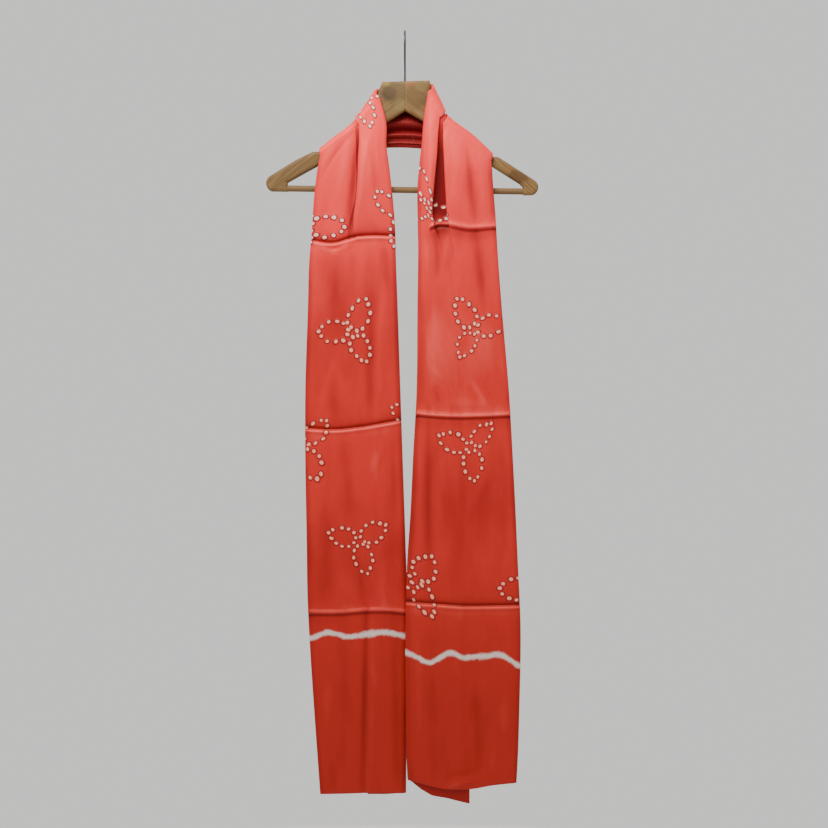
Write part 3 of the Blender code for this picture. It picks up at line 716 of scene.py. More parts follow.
# The band behind the neck, bunched into soft folds: (across, how far it stands forward).
NECK_SECTION = ((0, 0), (0.06, 1.8), (0.12, -2.8), (0.18, 3.6), (0.22, 2.8), (0.285, -6.0), (0.35, 4.8),
                (0.43, 3.2), (0.52, -6.2), (0.61, 5.0), (0.71, -6.2), (0.81, 4.9), (0.9, -5.0), (1, 0))
SLACK_BETWEEN = (0.43, 0.62)    # across the front ply: its fold takes up slack, and the lapel the rest
SLACK_SPREAD = 75.0             # how far along the cloth that evens out
FOLD_LEVEL = 0.53               # across the front ply: where the fold's height is read


# --- the cloth as one grid --------------------------------------------------------------------
class Winding:
    """The cloth's way across the band: half, middle, front and back ply, with a turn between each two."""

    half = np.linspace(FREE_EDGE, 1, 12)
    middle = np.linspace(1, 0, 22)
    front = np.concatenate([
        np.linspace(0, 0.40, 23), np.linspace(0.41, 0.65, 25), np.linspace(0.665, 1, 20),
    ])
    back = np.linspace(1, SELVEDGE, 44)
    turns = (5, 7, 8)

    def __init__(self) -> None:
        """Number the columns."""
        counts = [len(self.half), self.turns[0], len(self.middle), self.turns[1], len(self.front),
                  self.turns[2], len(self.back)]
        starts = np.cumsum([0, *counts])
        self.front_start = int(starts[4])
        self.front_end = int(starts[5])
        self.back_start = int(starts[6])
        fold = [self.front_start + int(np.abs(self.front - place).argmin()) for place in SLACK_BETWEEN]
        self.slack = (*fold, self.back_start)
        self.fold_column = self.front_start + int(np.abs(self.front - FOLD_LEVEL).argmin())
        columns = np.arange(sum(counts))
        # Behind the neck the front ply faces away from it, and all the others face inwards and get its
        # painted shade.
        self.inside = (columns < self.front_start - 2) | (columns > self.front_end + 1)
        self.across = np.concatenate([
            self.half, np.ones(counts[1]), self.middle, np.zeros(counts[3]), self.front,
            np.ones(counts[5]), self.back,
        ])

    def points(self, place: Place) -> Array:
        """The whole cloth for a block of rows.

        Args:
            place: Gives the points of a ply at places across the band, by row and column.

        Returns:
            The points, by row and column.
        """
        return np.concatenate([
            place(self.half, HALF_PLY), self.around(place, 1, HALF_PLY, MIDDLE_PLY, self.turns[0]),
            place(self.middle, MIDDLE_PLY), self.around(place, 0, MIDDLE_PLY, FRONT_PLY, self.turns[1]),
            place(self.front, FRONT_PLY), self.around(place, 1, FRONT_PLY, BACK_PLY, self.turns[2]),
            place(self.back, BACK_PLY),
        ], axis=1)

    @staticmethod
    def around(place: Place, edge: int, start: Ply, end: Ply, steps: int) -> Array:
        """The turn round an edge of the band, from one ply to another.

        Args:
            place: Gives the points of a ply at places across the band.
            edge: Across the band, 0 or 1.
            start: The ply before the turn.
            end: The ply after it.
            steps: How many columns the turn has.

        Returns:
            The turn's points, by row and column.
        """
        sides = np.array([float(edge), abs(edge - EDGE_PROBE)])
        first, last = place(sides, start)[:, :1], place(sides, end)
        outwards = last[:, :1] - last[:, 1:]
        last = last[:, :1]
        half = (first - last) / 2
        square = (half ** 2).sum(-1, keepdims=True)
        outwards = outwards - half * ((outwards * half).sum(-1, keepdims=True) / square)
        angle = (np.pi * np.arange(1, steps + 1) / (steps + 1))[None, :, None]
        reach = np.linalg.norm(half, axis=-1, keepdims=True)
        return (first + last) / 2 + half * np.cos(angle) + unit(outwards) * reach * np.sin(angle)


@dataclass(frozen=True)
class Block:
    """The hanging rows of one end of the stole, with its turn over the arm, from the hem upwards."""

    hang: Hang
    row_step: float = 5.6
    crease_rows: tuple[float, ...] = (-11, -7.5, -5, -3, -1.5, 0, 1.5, 3, 5, 7.5, 11)
    hem_rows: tuple[float, ...] = (0, 2.5, 5, 7.5)
    shoulder_rows: int = 34
    turn_rows: int = 15

    def rows(self) -> Array:
        """Lay out the hanging rows.

        Returns:
            (line, share, lift) of each.
        """
        middle = self.hang.heights(np.array([FREE_EDGE]))[:, 0]
        rows = [(0, 0.0, lift) for lift in self.hem_rows]
        shoulder = len(middle) - 1
        for line in range(shoulder):
            start = self.hem_rows[-1] if line == 0 else self.crease_rows[-1]
            end = -self.crease_rows[0] if line < shoulder - 1 else 0.0
            length = middle[line + 1] - middle[line]
            count = max(int((length - start - end) / self.row_step), 1)
            shares = np.linspace(start / length, 1 - end / length, count + 1)
            rows += [(line, share, 0.0) for share in shares[1:-1 if line < shoulder - 1 else None]]
            if line < shoulder - 1:
                rows += [(line + 1, 0.0, lift) for lift in self.crease_rows]
        rows += [(shoulder, share, 0.0) for share in np.linspace(0, 1, self.shoulder_rows + 1)[1:]]
        return np.array(rows)

    def place_front(self, rows: Array) -> Place:
        """Make what places the plies on the hanging rows.

        Args:
            rows: (line, share, lift) of each row.

        Returns:
            The function that gives a ply's points.
        """
        heights = self.hang.front(rows, np.array([FREE_EDGE]), MIDDLE_PLY, np.zeros(1))[:, 0, 2]

        def place(columns: Array, ply: Ply) -> Array:
            """Points of a ply."""
            across, share = columns, self.hang.fold_share(columns, ply)
            if ply is FRONT_PLY:
                across, share = self.hang.section_at(columns, heights)
            return self.hang.front(rows, across, ply, share)
        return place

    def top(self, columns: Array, ply: Ply) -> tuple[Array, Array]:
        """Read a ply where it reaches the arm's top.

        Args:
            columns: Places along the ply.
            ply: The ply.

        Returns:
            Places across the band, and shares of the fold's height.
        """
        if ply is FRONT_PLY:
            crest = self.hang.crest_point(np.array([FREE_EDGE]), -CREST_HELIX)[0][:, 2]
            across, share = self.hang.section_at(columns, crest)
            return across[0], share[0]
        return columns, self.hang.fold_share(columns, ply)

    def place_turn(self, angles: Array) -> Place:
        """Make what places the plies on the rows over the arm.

        Args:
            angles: The way round the arm of each row.

        Returns:
            The function that gives a ply's points.
        """
        def place(columns: Array, ply: Ply) -> Array:
            """Points of a ply."""
            across, share = self.top(columns, ply)
            return self.hang.turn(angles, across, ply, share)
        return place


# --- the pattern ------------------------------------------------------------------------------
MOTIF_UNIT = 100.0              # mm of cloth that the pattern's own coordinates count as 1
MOTIF_REACH = 80.0              # mm from a trefoil's centre to past its last dot
NO_MOTIF = 10.0                 # pattern coordinate where the cloth is plain
# How far above each hem the undyed band lies: (mm across from the outer fold, mm up).
LEFT_BAND = ((0, 258), (28, 265), (62, 258), (96, 262), (128, 265), (155, 258))
RIGHT_BAND = ((0, 191), (26, 211), (60, 214), (90, 217), (108, 224), (152, 204), (180, 209))
LEFT_MOTIFS = table_of(
    Motif, (-86, -497, 64), (-165, -681, 50), (29, -641, 30), (-75, -840, 38, 0.95), (-160, -322, 0),
    (-5, -308, 9, 0.9), (-66, -112, 22, 0.92),
)
RIGHT_MOTIFS = table_of(
    Motif, (114, -489, 4, 0.95), (107, -684, 37, 0.92), (18, -904, 63), (210, -919, 60, 0.92),
    (37, -287, 104, 0.86), (222, -300, 40), (-20, -590, 50),
)
# The rest of the cloth, behind and inside: rows of trefoils by their place across the cloth.
HIDDEN_ROWS = ((-85, 0.0), (-215, 0.5), (245, 0.25), (75, 0.75))
HIDDEN_STEP = 178.0             # from one to the next along a row
CLEAR_OF_OTHERS = 138.0         # from one to any other trefoil
PLAIN_END = 330.0               # no trefoils below the undyed bands
FRONT_WIDTH = 150.0             # mm across the cloth that the front ply surely covers
NECK_CLEAR = 90.0               # mm before and past the neck that stay without hidden trefoils
HIDDEN_TURN, ROW_TURN = 1.1, 0.7        # radians from one hidden trefoil, and one row, to the next
BEHIND = 1e3                    # mm that a point behind the arms counts as further off


class Stretch(Enum):
    """The stretches of the stole: each one's solids, and the arms that it rests on."""

    LEFT = ("stole_left", ("front_left", "hem_left"), ("hanger_arm_left",))
    NECK = ("stole_neck", ("neck_back",), ("hanger_arm_left", "hanger_arm_right"))
    RIGHT = ("stole_right", ("front_right", "hem_right"), ("hanger_arm_right",))


@dataclass
class Stole:
    """The dupatta: one rectangle of satin, folded lengthways and hung round the hanger's neck."""

    left: Block = Block(LEFT)
    right: Block = Block(RIGHT)
    winding: Winding = Winding()
    neck_rows: int = 52
    behind_rows: int = 7            # rows of each turn over an arm that are cut with the neck's sheet
    stitch_pitch: float = 3.0
    stitch_lift: float = 5.6
    stitch_radius: float = 0.22
    stitch_half: float = 0.36       # half a stitch's length, in pitches
    stitch_out: float = 0.6         # how far its middle stands out of the cloth, in radii

    def __post_init__(self) -> None:
        """Lay out the whole cloth, what its pattern reads, and its painted shade and highlight."""
        left, right = (self.end_points(block) for block in (self.left, self.right))
        shares = np.arange(1, self.neck_rows) / self.neck_rows
        neck = self.winding.points(self.place_neck(shares))
        self.points = np.concatenate([left, neck, right[::-1]])
        self.cuts = (len(left), len(left) + len(neck))
        across = lengths(self.points, axis=1)
        self.across = self.even_slack(across - across[:, self.winding.front_start, None])
        self.along = self.lengths_along()
        self.lustre = np.concatenate([
            self.end_painted_light(self.left, left), np.zeros(neck.shape[:2]),
            self.end_painted_light(self.right, right)[::-1],
        ])
        start, end = self.cuts
        row = np.arange(len(self.points))
        # Painted shade inside the neck, on the plies that face inwards.
        behind = ease((np.minimum(row - start, end - row) + NECK_SHADE_LEAD) / NECK_SHADE_ROWS)
        shade = NECK_SHADE * self.winding.inside * straight(NECK_SHADE_ACROSS, self.winding.across)
        self.lustre += behind[:, None] * shade
        self.motifs = self.placed_motifs()

    def even_slack(self, across: Array) -> Array:
        """Let the cloth in the front ply's fold change slowly from row to row, as satin slips on itself.

        Args:
            across: Each point's distance across the cloth, row by row.

        Returns:
            The same, with the pattern past the fold drawn straight.
        """
        far = lengths(self.points[:, self.winding.slack[0]])
        near = np.exp(-((far[:, None] - far) / SLACK_SPREAD) ** 2) * np.gradient(far)
        near /= near.sum(1, keepdims=True)
        for first, last in zip(self.winding.slack, self.winding.slack[1:]):
            drawn = across[:, last] - across[:, first]
            inside = (across - across[:, first:first + 1]).clip(0, drawn[:, None])
            across = across + inside * (near @ drawn / drawn - 1)[:, None]
        return across

    def lengths_along(self) -> Array:
        """Measure along the cloth.

        Returns:
            Each point's distance from the left hem, measured from the end that it belongs to.
        """
        far = lengths(self.points) - HEM_DEPTH
        start, end = self.cuts[0] - 1, self.cuts[1]
        whole = far[-1].mean()
        near = whole - (far[-1] - far)
        share = ((far - far[start]) / (far[end] - far[start])).clip(0, 1)
        return far * (1 - share) + near * share

    def end_points(self, block: Block) -> Array:
        """One end of the stole, from its turned hem to behind the arm.

        Args:
            block: The end's rows.

        Returns:
            Its points, by row and column.
        """
        angles = math.pi * np.arange(1, block.turn_rows + 1) / block.turn_rows
        places = (block.place_front(block.rows()), block.place_turn(angles))
        points = np.concatenate([self.winding.points(place) for place in places])
        low = points[:len(block.hem_rows) + 1]
        normals = unit(np.cross(np.gradient(low, axis=1), np.gradient(low, axis=0))) * block.hang.inward
        turned = (low - normals * HEM_TURN)[:-1]
        bottom = (points[0] + turned[0]) / 2 + unit(points[0] - points[1]) * HEM_TURN / 2
        return np.concatenate([turned[::-1], bottom[None], points])

    def place_neck(self, shares: Array) -> Place:
        """Make what places the plies on the rows behind the neck.

        Args:
            shares: Share of the way from the left arm to the right one, for each row.

        Returns:
            The function that gives a ply's points.
        """
        behind = np.array([math.pi])
        near, far = (1 - shares)[:, None, None], shares[:, None, None]

        def place(columns: Array, ply: Ply) -> Array:
            """Points of a ply, on curves that leave the arms as the cloth does and bunch up between them."""
            across, share = zip(*(block.top(columns, ply) for block in (self.left, self.right)))
            ends = [block.hang.turn(behind, *top, ply, fold)
                    for block, top, fold in zip((self.left, self.right), zip(across), share)]
            offs = [-block.hang.crest_point(top, BACK_HELIX)[1]
                    for block, top in zip((self.left, self.right), across)]
            span = np.linalg.norm(ends[1] - ends[0], axis=-1, keepdims=True)
            spot = (ends[0] * near ** 2 * (1 + 2 * far) + ends[1] * far ** 2 * (1 + 2 * near)
                    + (offs[0] * near + offs[1] * far) * NECK_LEAD * span * near * far)
            over = across[0] * near[..., 0] + across[1] * far[..., 0]
            middle = (4 * near * far)[..., 0] ** 2
            bunch = NECK_BUNCH * ply.front_share * (0.5 - 0.5 * np.cos(4 * np.pi * over))
            spot[..., 2] += NECK_ARCH * (1 - over) * middle
            spot[..., 1] += bunch * middle + (NECK_BACK - smooth(NECK_SECTION, over)) * middle ** 0.5
            return spot
        return place

    def end_painted_light(self, block: Block, points: Array) -> Array:
        """Work out the painted shade and highlight on one end.

        Args:
            block: The end's rows.
            points: Its points, by row and column.

        Returns:
            How far each point seems to stand out, which sets its painted shade and highlight.
        """
        x, z = points[..., 0], points[..., 2]
        hang, over = block.hang, self.winding.across
        front, back = hang.relief(hang.wrinkles, x, z), -hang.relief(hang.back_wrinkles, x, z)
        front = np.where(front > 0, RIDGE_SHARE, HOLLOW_SHARE) * front + hang.crease_light(over, z, True)
        back = np.where(back > 0, RIDGE_SHARE, HOLLOW_SHARE) * back + hang.crease_light(over, z, False)
        # Painted shade in the hollow of the front ply's deep fold.
        level = z[:, self.winding.fold_column]
        height = hang.section_at(self.winding.front, level)[1]
        depth = hang.trough * smooth(hang.fold_height, level).clip(0)[:, None] / TROUGH_HEIGHT
        inside = (np.abs(self.winding.front - FOLD_MIDDLE) < FOLD_HALF) & (height < FOLD_DEEP)
        front[:, self.winding.front_start:self.winding.front_end] -= depth * inside * (1 - height.clip(0, 1))
        front = front * ease(0.5 - points[..., 1] / FRONT_LIGHT_DEPTH)
        light = np.where(np.arange(len(over)) < self.winding.back_start, front, back)
        light[:, :len(self.winding.half)] += HIDDEN_SHADE
        edge = EDGE_SHADE * np.exp(-(np.minimum(over, 1 - over) / EDGE_SHADE_WIDTH) ** 2)
        # Painted shade at the edges, and the painted light made lighter or darker by height.
        return light + edge + smooth(hang.tone, level)[:, None]

    def placed_motifs(self) -> Array:
        """Lay out every trefoil.

        Returns:
            (across, along, turn, size) of each on the flat cloth, in millimetres and radians.
        """
        found = [self.on_cloth(motif, 1.0) for motif in LEFT_MOTIFS]
        found += [self.on_cloth(motif, -1.0) for motif in RIGHT_MOTIFS]
        neck = (self.along[self.cuts[0]].mean(), self.along[self.cuts[1]].mean())
        whole = self.along[-1].mean()
        for number, (place, shift) in enumerate(HIDDEN_ROWS):
            for step in range(int(whole / HIDDEN_STEP) + 1):
                along = (step + shift) * HIDDEN_STEP
                if 0 < place < FRONT_WIDTH:
                    hidden = neck[0] < along < neck[1]
                else:
                    hidden = not neck[0] - NECK_CLEAR < along < neck[1] + NECK_CLEAR
                hidden = hidden and PLAIN_END < along < whole - PLAIN_END
                clear = all(math.hypot(place - a, along - b) > CLEAR_OF_OTHERS for a, b, *_ in found)
                if clear and hidden:
                    found.append((place, along, HIDDEN_TURN * step + ROW_TURN * number, 1.0))
        return np.array(found)

    def on_cloth(self, motif: Motif, side: float) -> tuple[float, ...]:
        """Find a trefoil that shows on the front on the flat cloth.

        Args:
            motif: The trefoil.
            side: The end that it shows on: the left (1) or the right (-1).

        Returns:
            Its (across, along, turn, size).
        """
        part = (slice(0, self.cuts[0]) if side > 0 else slice(self.cuts[1], None),
                slice(self.winding.front_start, self.winding.front_end))
        spots = self.points[part]
        off = np.hypot(spots[..., 0] - motif.x, spots[..., 2] - motif.z) + BEHIND * (spots[..., 1] > 0)
        nearest = np.unravel_index(np.argmin(off), off.shape)
        shift_x, shift_z = motif.x - spots[nearest][0], motif.z - spots[nearest][2]
        return (self.across[part][nearest] + side * shift_x, self.along[part][nearest] + side * shift_z,
                math.radians(motif.turn + (0 if side > 0 else 180)), motif.size)

    def build(self, satin: bpy.types.Material, thread: bpy.types.Material) -> list[bpy.types.Object]:
        """Make the three sheets and the hem stitches.

        Args:
            satin: The cloth's material.
            thread: The stitches' material.

        Returns:
            The pieces.
        """
        low, high = self.cuts[0] - 1 - self.behind_rows, self.cuts[1] + self.behind_rows
        whole = len(self.points)
        rows = {Stretch.LEFT: (0, low + 1), Stretch.NECK: (low, high + 1), Stretch.RIGHT: (high, whole)}
        pieces = []
        for stretch, (start, end) in rows.items():
            name, solids, arms = stretch.value
            piece = self.sheet(name, start, end)
            piece.data.materials.append(satin)
            with_pieces = []
            if stretch is not Stretch.NECK:
                block = self.left if stretch is Stretch.LEFT else self.right
                upwards = self.points[start:end][::int(block.hang.inward)]
                stitches = self.stitches(name + "_stitches", upwards, block)
                stitches.data.materials.append(thread)
                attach(stitches, "root")
                with_pieces = [stitches]
            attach(piece, "root")
            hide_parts(*solids)
            pieces += [piece, *with_pieces]
        return pieces

    def sheet(self, name: str, start: int, end: int) -> bpy.types.Object:
        """Make a sheet, with its wall and what its material reads.

        Args:
            name: The piece's name.
            start: Its first row.
            end: The row after its last one.

        Returns:
            The sheet.
        """
        grid = self.points[start:end]
        count, size = grid.shape[:2]
        shaped = bmesh.new()
        bmesh.ops.create_grid(shaped, x_segments=size - 1, y_segments=count - 1, size=0.5)
        for vert, spot in zip(shaped.verts, grid.reshape(-1, 3) * MM):
            vert.co = spot
        mesh = new_mesh(name, shaped)
        flat = np.stack([self.across[start:end], self.along[start:end]], -1)
        self.write_pattern(mesh, flat.reshape(-1, 2), self.lustre[start:end].ravel())
        obj = new_object(name, mesh)
        solidify = obj.modifiers.new("wall", "SOLIDIFY")
        solidify.thickness, solidify.offset = WALL * MM, 0
        obj.data = bpy.data.meshes.new_from_object(obj.evaluated_get(bpy.context.evaluated_depsgraph_get()))
        obj.modifiers.clear()
        obj.data.name = name
        obj.data.shade_smooth()
        obj.data.set_sharp_from_angle(angle=math.radians(WALL_EDGES))
        return obj

    def write_pattern(self, mesh: bpy.types.Mesh, flat: Array, lustre: Array) -> None:
        """Give a sheet's mesh the maps and attributes that its material reads, painted shade and highlight
        too.

        Args:
            mesh: The sheet before it gets its wall.
            flat: Each vertex's place on the flat cloth, in millimetres.
            lustre: How far each vertex stands out on a fold.
        """
        corners = np.zeros(len(mesh.loops), int)
        mesh.loops.foreach_get("vertex_index", corners)
        faces = flat[corners].reshape(-1, 4, 2)
        middles = faces.mean(1)
        offs = middles[:, None] - self.motifs[None, :, :2]
        nearest = np.hypot(offs[..., 0], offs[..., 1])
        chosen = nearest.argmin(1)
        local = faces - self.motifs[chosen, None, :2]
        turn = self.motifs[chosen, 2][:, None]
        local = np.stack([local[..., 0] * np.cos(turn) + local[..., 1] * np.sin(turn),
                          local[..., 1] * np.cos(turn) - local[..., 0] * np.sin(turn)], -1)
        local /= MOTIF_UNIT * self.motifs[chosen, 3][:, None, None]
        local[nearest.min(1) > MOTIF_REACH] = NO_MOTIF
        for name, values in (("cloth", flat[corners] * MM), ("motif", local)):
            mesh.uv_layers.new(name=name).uv.foreach_set("vector", values.astype(np.float32).ravel())
        mesh.attributes.new("motif_id", "FLOAT", "FACE").data.foreach_set("value", chosen.astype(np.float32))
        whole = self.along[-1].mean() - HEM_DEPTH
        left_band, right_band = (smooth(table, flat[:, 0]) for table in (LEFT_BAND, RIGHT_BAND))
        ends = np.stack([flat[:, 1] - left_band, flat[:, 1] - (whole - right_band)])
        band = np.take_along_axis(ends, np.abs(ends).argmin(0)[None], 0)[0]
        for name, values in (("band", band), ("lustre", lustre)):
            mesh.attributes.new(name, "FLOAT", "POINT").data.foreach_set("value", values.astype(np.float32))

    def stitches(self, name: str, points: Array, block: Block) -> bpy.types.Object:
        """A row of stitches that holds a hem's turning, on the front and the back ply.

        Args:
            name: The piece's name.
            points: The end's points from its hem upwards.
            block: The end's rows.

        Returns:
            The stitches as one mesh.
        """
        first = len(block.hem_rows) + 1
        share = (self.stitch_lift - block.hem_rows[2]) / (block.hem_rows[3] - block.hem_rows[2])
        low, high = points[first + 2], points[first + 3]
        line = low + (high - low) * share
        normals = unit(np.cross(np.gradient(line, axis=0), high - low)) * block.hang.inward
        line = line + normals * (WALL / 2 + self.stitch_out * self.stitch_radius)
        half = self.stitch_half * self.stitch_pitch
        shaped = bmesh.new()
        for run in (line[self.winding.front_start:self.winding.front_end], line[self.winding.back_start:]):
            places = lengths(run)
            for at in np.arange(self.stitch_pitch, places[-1] - self.stitch_pitch, self.stitch_pitch):
                a, b = (Vector([np.interp(end, places, run[:, axis]) for axis in range(3)])
                        for end in (at - half, at + half))
                turn = (b - a).to_track_quat("Z", "Y").to_matrix().to_4x4()
                turn.translation = (a + b) / 2
                bmesh.ops.create_cone(
                    shaped, cap_ends=True, segments=6, radius1=self.stitch_radius,
                    radius2=self.stitch_radius, depth=(b - a).length, matrix=turn,
                )
        bmesh.ops.transform(shaped, matrix=Matrix.Scale(MM, 4), verts=shaped.verts)
        return new_object(name, new_mesh(name, shaped))


def new_mesh(name: str, shaped: bmesh.types.BMesh) -> bpy.types.Mesh:
    """A mesh of what was shaped."""
    mesh = bpy.data.meshes.new(name)
    shaped.to_mesh(mesh)
    shaped.free()
    return mesh


def new_object(name: str, data: bpy.types.ID) -> bpy.types.Object:
    """Put a mesh, a light or a camera in the scene."""
    obj = bpy.data.objects.new(name, data)
    bpy.context.scene.collection.objects.link(obj)
    return obj


# --- finishes ---------------------------------------------------------------------------------
def linear(colour: str) -> tuple[float, float, float, float]:
    """Linear RGBA of an sRGB hex value."""
    parts = [int(colour[i:i + 2], 16) / 255 for i in (1, 3, 5)]
    return (*(part / 12.92 if part <= 0.04045 else ((part + 0.055) / 1.055) ** 2.4 for part in parts), 1.0)


class Finish:
    """A material that is put together node by node."""

    def __init__(self, name: str) -> None:
        """Start an empty material.

        Args:
            name: Its name, which says what the real one is.
        """
        self.material = bpy.data.materials.new(name)
        self.material.use_nodes = True
        self.tree = self.material.node_tree
        self.tree.nodes.clear()

    def add(self, kind: str, inputs: dict | None = None, out: int | str = 0, **settings: Any) -> Any:
        """Add a node.

        Args:
            kind: Its type, without "ShaderNode".
            inputs: A value, an sRGB hex colour or another node's output for each input.
            out: The output that is wanted.
            settings: The node's own settings.

        Returns:
            That output.
        """
        node = self.tree.nodes.new("ShaderNode" + kind)
        for name, value in settings.items():
            setattr(node, name, value)
        for key, value in (inputs or {}).items():
            if isinstance(value, bpy.types.NodeSocket):
                self.tree.links.new(value, node.inputs[key])
            else:
                node.inputs[key].default_value = linear(value) if isinstance(value, str) else value
        return node.outputs[out] if node.outputs else node

    def surface(self, inputs: dict) -> bpy.types.Material:
        """Finish the material with a principled surface.

        Args:
            inputs: The surface's inputs.

        Returns:
            The material.
        """
        shader = self.add("BsdfPrincipled", inputs)
        self.add("OutputMaterial", {"Surface": shader})
        return self.material


@dataclass(frozen=True)
class DyedSatin:
    """Silk satin, woven with long floats and tie-dyed, with painted highlights on its folds and painted shade
    in its hollows.
    """

    # The red by height: painted light from above, lighter towards the top and deeper towards the hem.
    low: str = "#981F1A"
    middle: str = "#BA2722"
    high: str = "#EA3A3C"
    # painted shade in the folds' hollows
    hollow: str = "#5E0710"
    # painted highlights on the folds' ridges, up high and lower down
    ridge: str = "#F4625C"
    low_ridge_highlight: str = "#CC3A2C"
    undyed: str = "#C6BDB8"
    # the undyed dots, up high and lower down, where the painted light from above leaves them darker
    tied: str = "#FFE2D6"
    low_tied_shaded: str = "#FFA283"
    core: str = "#B4584C"
    # the painted shadow of the ties round each dot
    halo: str = "#6A0C1E"
    low_fade: tuple[float, float] = (-1.05, -0.62)      # heights where the low tone gives way to the middle, in the painted light from above
    high_fade: tuple[float, float] = (-0.50, -0.04)     # and the middle one to the high one
    cloudiness: float = 0.16        # metres that these heights stray
    deepens: tuple[float, float] = (0.0, -4.6)          # how far in the cloth stands as its painted shade turns darkest
    brightens: tuple[float, float] = (0.5, 4.4)         # and how far out as its painted highlight turns brightest
    streaks: float = 2.4            # how much its fine crumples streak the painted shade and highlight
    petal_centre: float = 30.0      # mm from a trefoil's centre
    petal_length: float = 23.5      # half the ring of dots, along the petal
    petal_width: float = 16.5
    petal_tip: float = 4.5          # how far its last dot is drawn out
    dots: int = 11
    dot: float = 2.9                # half a dot
    drift: float = 5.0              # how far the tied pattern strays, peak to peak
    band: float = 3.2               # half the undyed band's clear part

    def build(self) -> bpy.types.Material:
        """Put the material together.

        Returns:
            The material.
        """
        fin = Finish("silk_satin_tie_dyed_painted_light")
        spot = fin.add("TexCoord", out="Object")
        cloth = fin.add("UVMap", uv_map="cloth")
        dot, core, halo = self.tied_dots(fin, spot)
        # Painted light from above: the red gets lighter towards the top, with cloudy bounds.
        height = fin.add("SeparateXYZ", {0: spot}, out="Z")
        cloudy = fin.add("TexNoise", {"Vector": spot, "Scale": 9.0, "Detail": 3.0})
        level = fin.add("Math", {0: cloudy, 1: self.cloudiness, 2: height}, operation="MULTIPLY_ADD")
        lower, upper = (fin.add("MapRange", {0: level, 1: start, 2: end}, interpolation_type="SMOOTHSTEP")
                        for start, end in (self.low_fade, self.high_fade))
        dyed = fin.add("Mix", {0: lower, 6: self.low, 7: self.middle}, 2, data_type="RGBA")
        dyed = fin.add("Mix", {0: upper, 6: dyed, 7: self.high}, 2, data_type="RGBA")
        # Painted shade in the folds' hollows and painted highlight on their ridges, as the sheets give it.
        stand = fin.add("Attribute", out="Fac", attribute_name="lustre")
        # Fine crumples streak the painted shade and highlight; the same noise bumps the surface.
        soft = fin.add("Mapping", {"Vector": cloth, "Scale": (46.0, 14.0, 1.0)})
        crumple = fin.add("TexNoise", {"Vector": soft, "Scale": 1.0, "Detail": 3.0, "Roughness": 0.45})
        streak = fin.add("Math", {0: crumple, 1: 0.5}, operation="SUBTRACT")
        stand = fin.add("Math", {0: streak, 1: self.streaks, 2: stand}, operation="MULTIPLY_ADD")
        hollow, ridge = (fin.add("MapRange", {0: stand, 1: start, 2: end, 4: most})
                         for (start, end), most in ((self.deepens, 0.95), (self.brightens, 0.85)))
        # The painted highlight and the undyed dots get lighter towards the top, in the painted light from
        # above.
        lit = fin.add("Mix", {0: lower, 6: self.low_ridge_highlight, 7: self.ridge}, 2, data_type="RGBA")
        tied = fin.add("Mix", {0: upper, 6: self.low_tied_shaded, 7: self.tied}, 2, data_type="RGBA")
        bled = fin.add("TexNoise", {"Vector": spot, "Scale": 170.0, "Detail": 4.0, "Roughness": 0.7})
        sway = fin.add("TexNoise", {"Vector": spot, "Scale": 45.0, "Detail": 1.0})
        place = fin.add("Attribute", out="Fac", attribute_name="band")
        place = fin.add("Math", {0: sway, 1: 8.0, 2: place}, operation="MULTIPLY_ADD")
        place = fin.add("Math", {0: place, 1: 4.0}, operation="SUBTRACT")
        place = fin.add("Math", {0: place}, operation="ABSOLUTE")
        place = fin.add("Math", {0: bled, 1: 6.0, 2: place}, operation="MULTIPLY_ADD")
        resist = fin.add("MapRange", {0: place, 1: self.band + 6.5, 2: self.band + 1.0, 4: 0.92},
                         interpolation_type="SMOOTHSTEP")
        # Lay on the painted shade, the painted highlight, the ties' painted shadow, the dots, their cores and
        # the undyed band.
        for share, colour in ((hollow, self.hollow), (ridge, lit), (halo, self.halo), (dot, tied),
                              (core, self.core), (resist, self.undyed)):
            dyed = fin.add("Mix", {0: share, 6: dyed, 7: colour}, 2, data_type="RGBA")
        # The real threads lie 0.1 mm apart. The slubs are drawn 1.2 mm wide and 25 mm long, so they show.
        thread = fin.add("Mapping", {"Vector": cloth, "Scale": (830.0, 40.0, 1.0)})
        slubs = fin.add("TexNoise", {"Vector": thread, "Scale": 1.0, "Detail": 2.0})
        pucker = fin.add("Math", {0: halo, 1: 0.35, 2: crumple}, operation="MULTIPLY_ADD")
        normal = fin.add("Bump", {"Height": pucker, "Distance": 0.0035, "Strength": 0.55})
        normal = fin.add("Bump", {"Height": slubs, "Distance": 0.00025, "Strength": 0.35, "Normal": normal})
        rough = fin.add("MapRange", {0: slubs, 3: 0.36, 4: 0.50})
        along = fin.add("Tangent", direction_type="UV_MAP", uv_map="cloth")
        return fin.surface({
            "Base Color": dyed, "Roughness": rough, "IOR": 1.54, "Anisotropic": 0.5, "Tangent": along,
            "Specular Tint": "#FF8A78", "Sheen Weight": 0.05, "Sheen Tint": "#F0705C", "Normal": normal,
        })

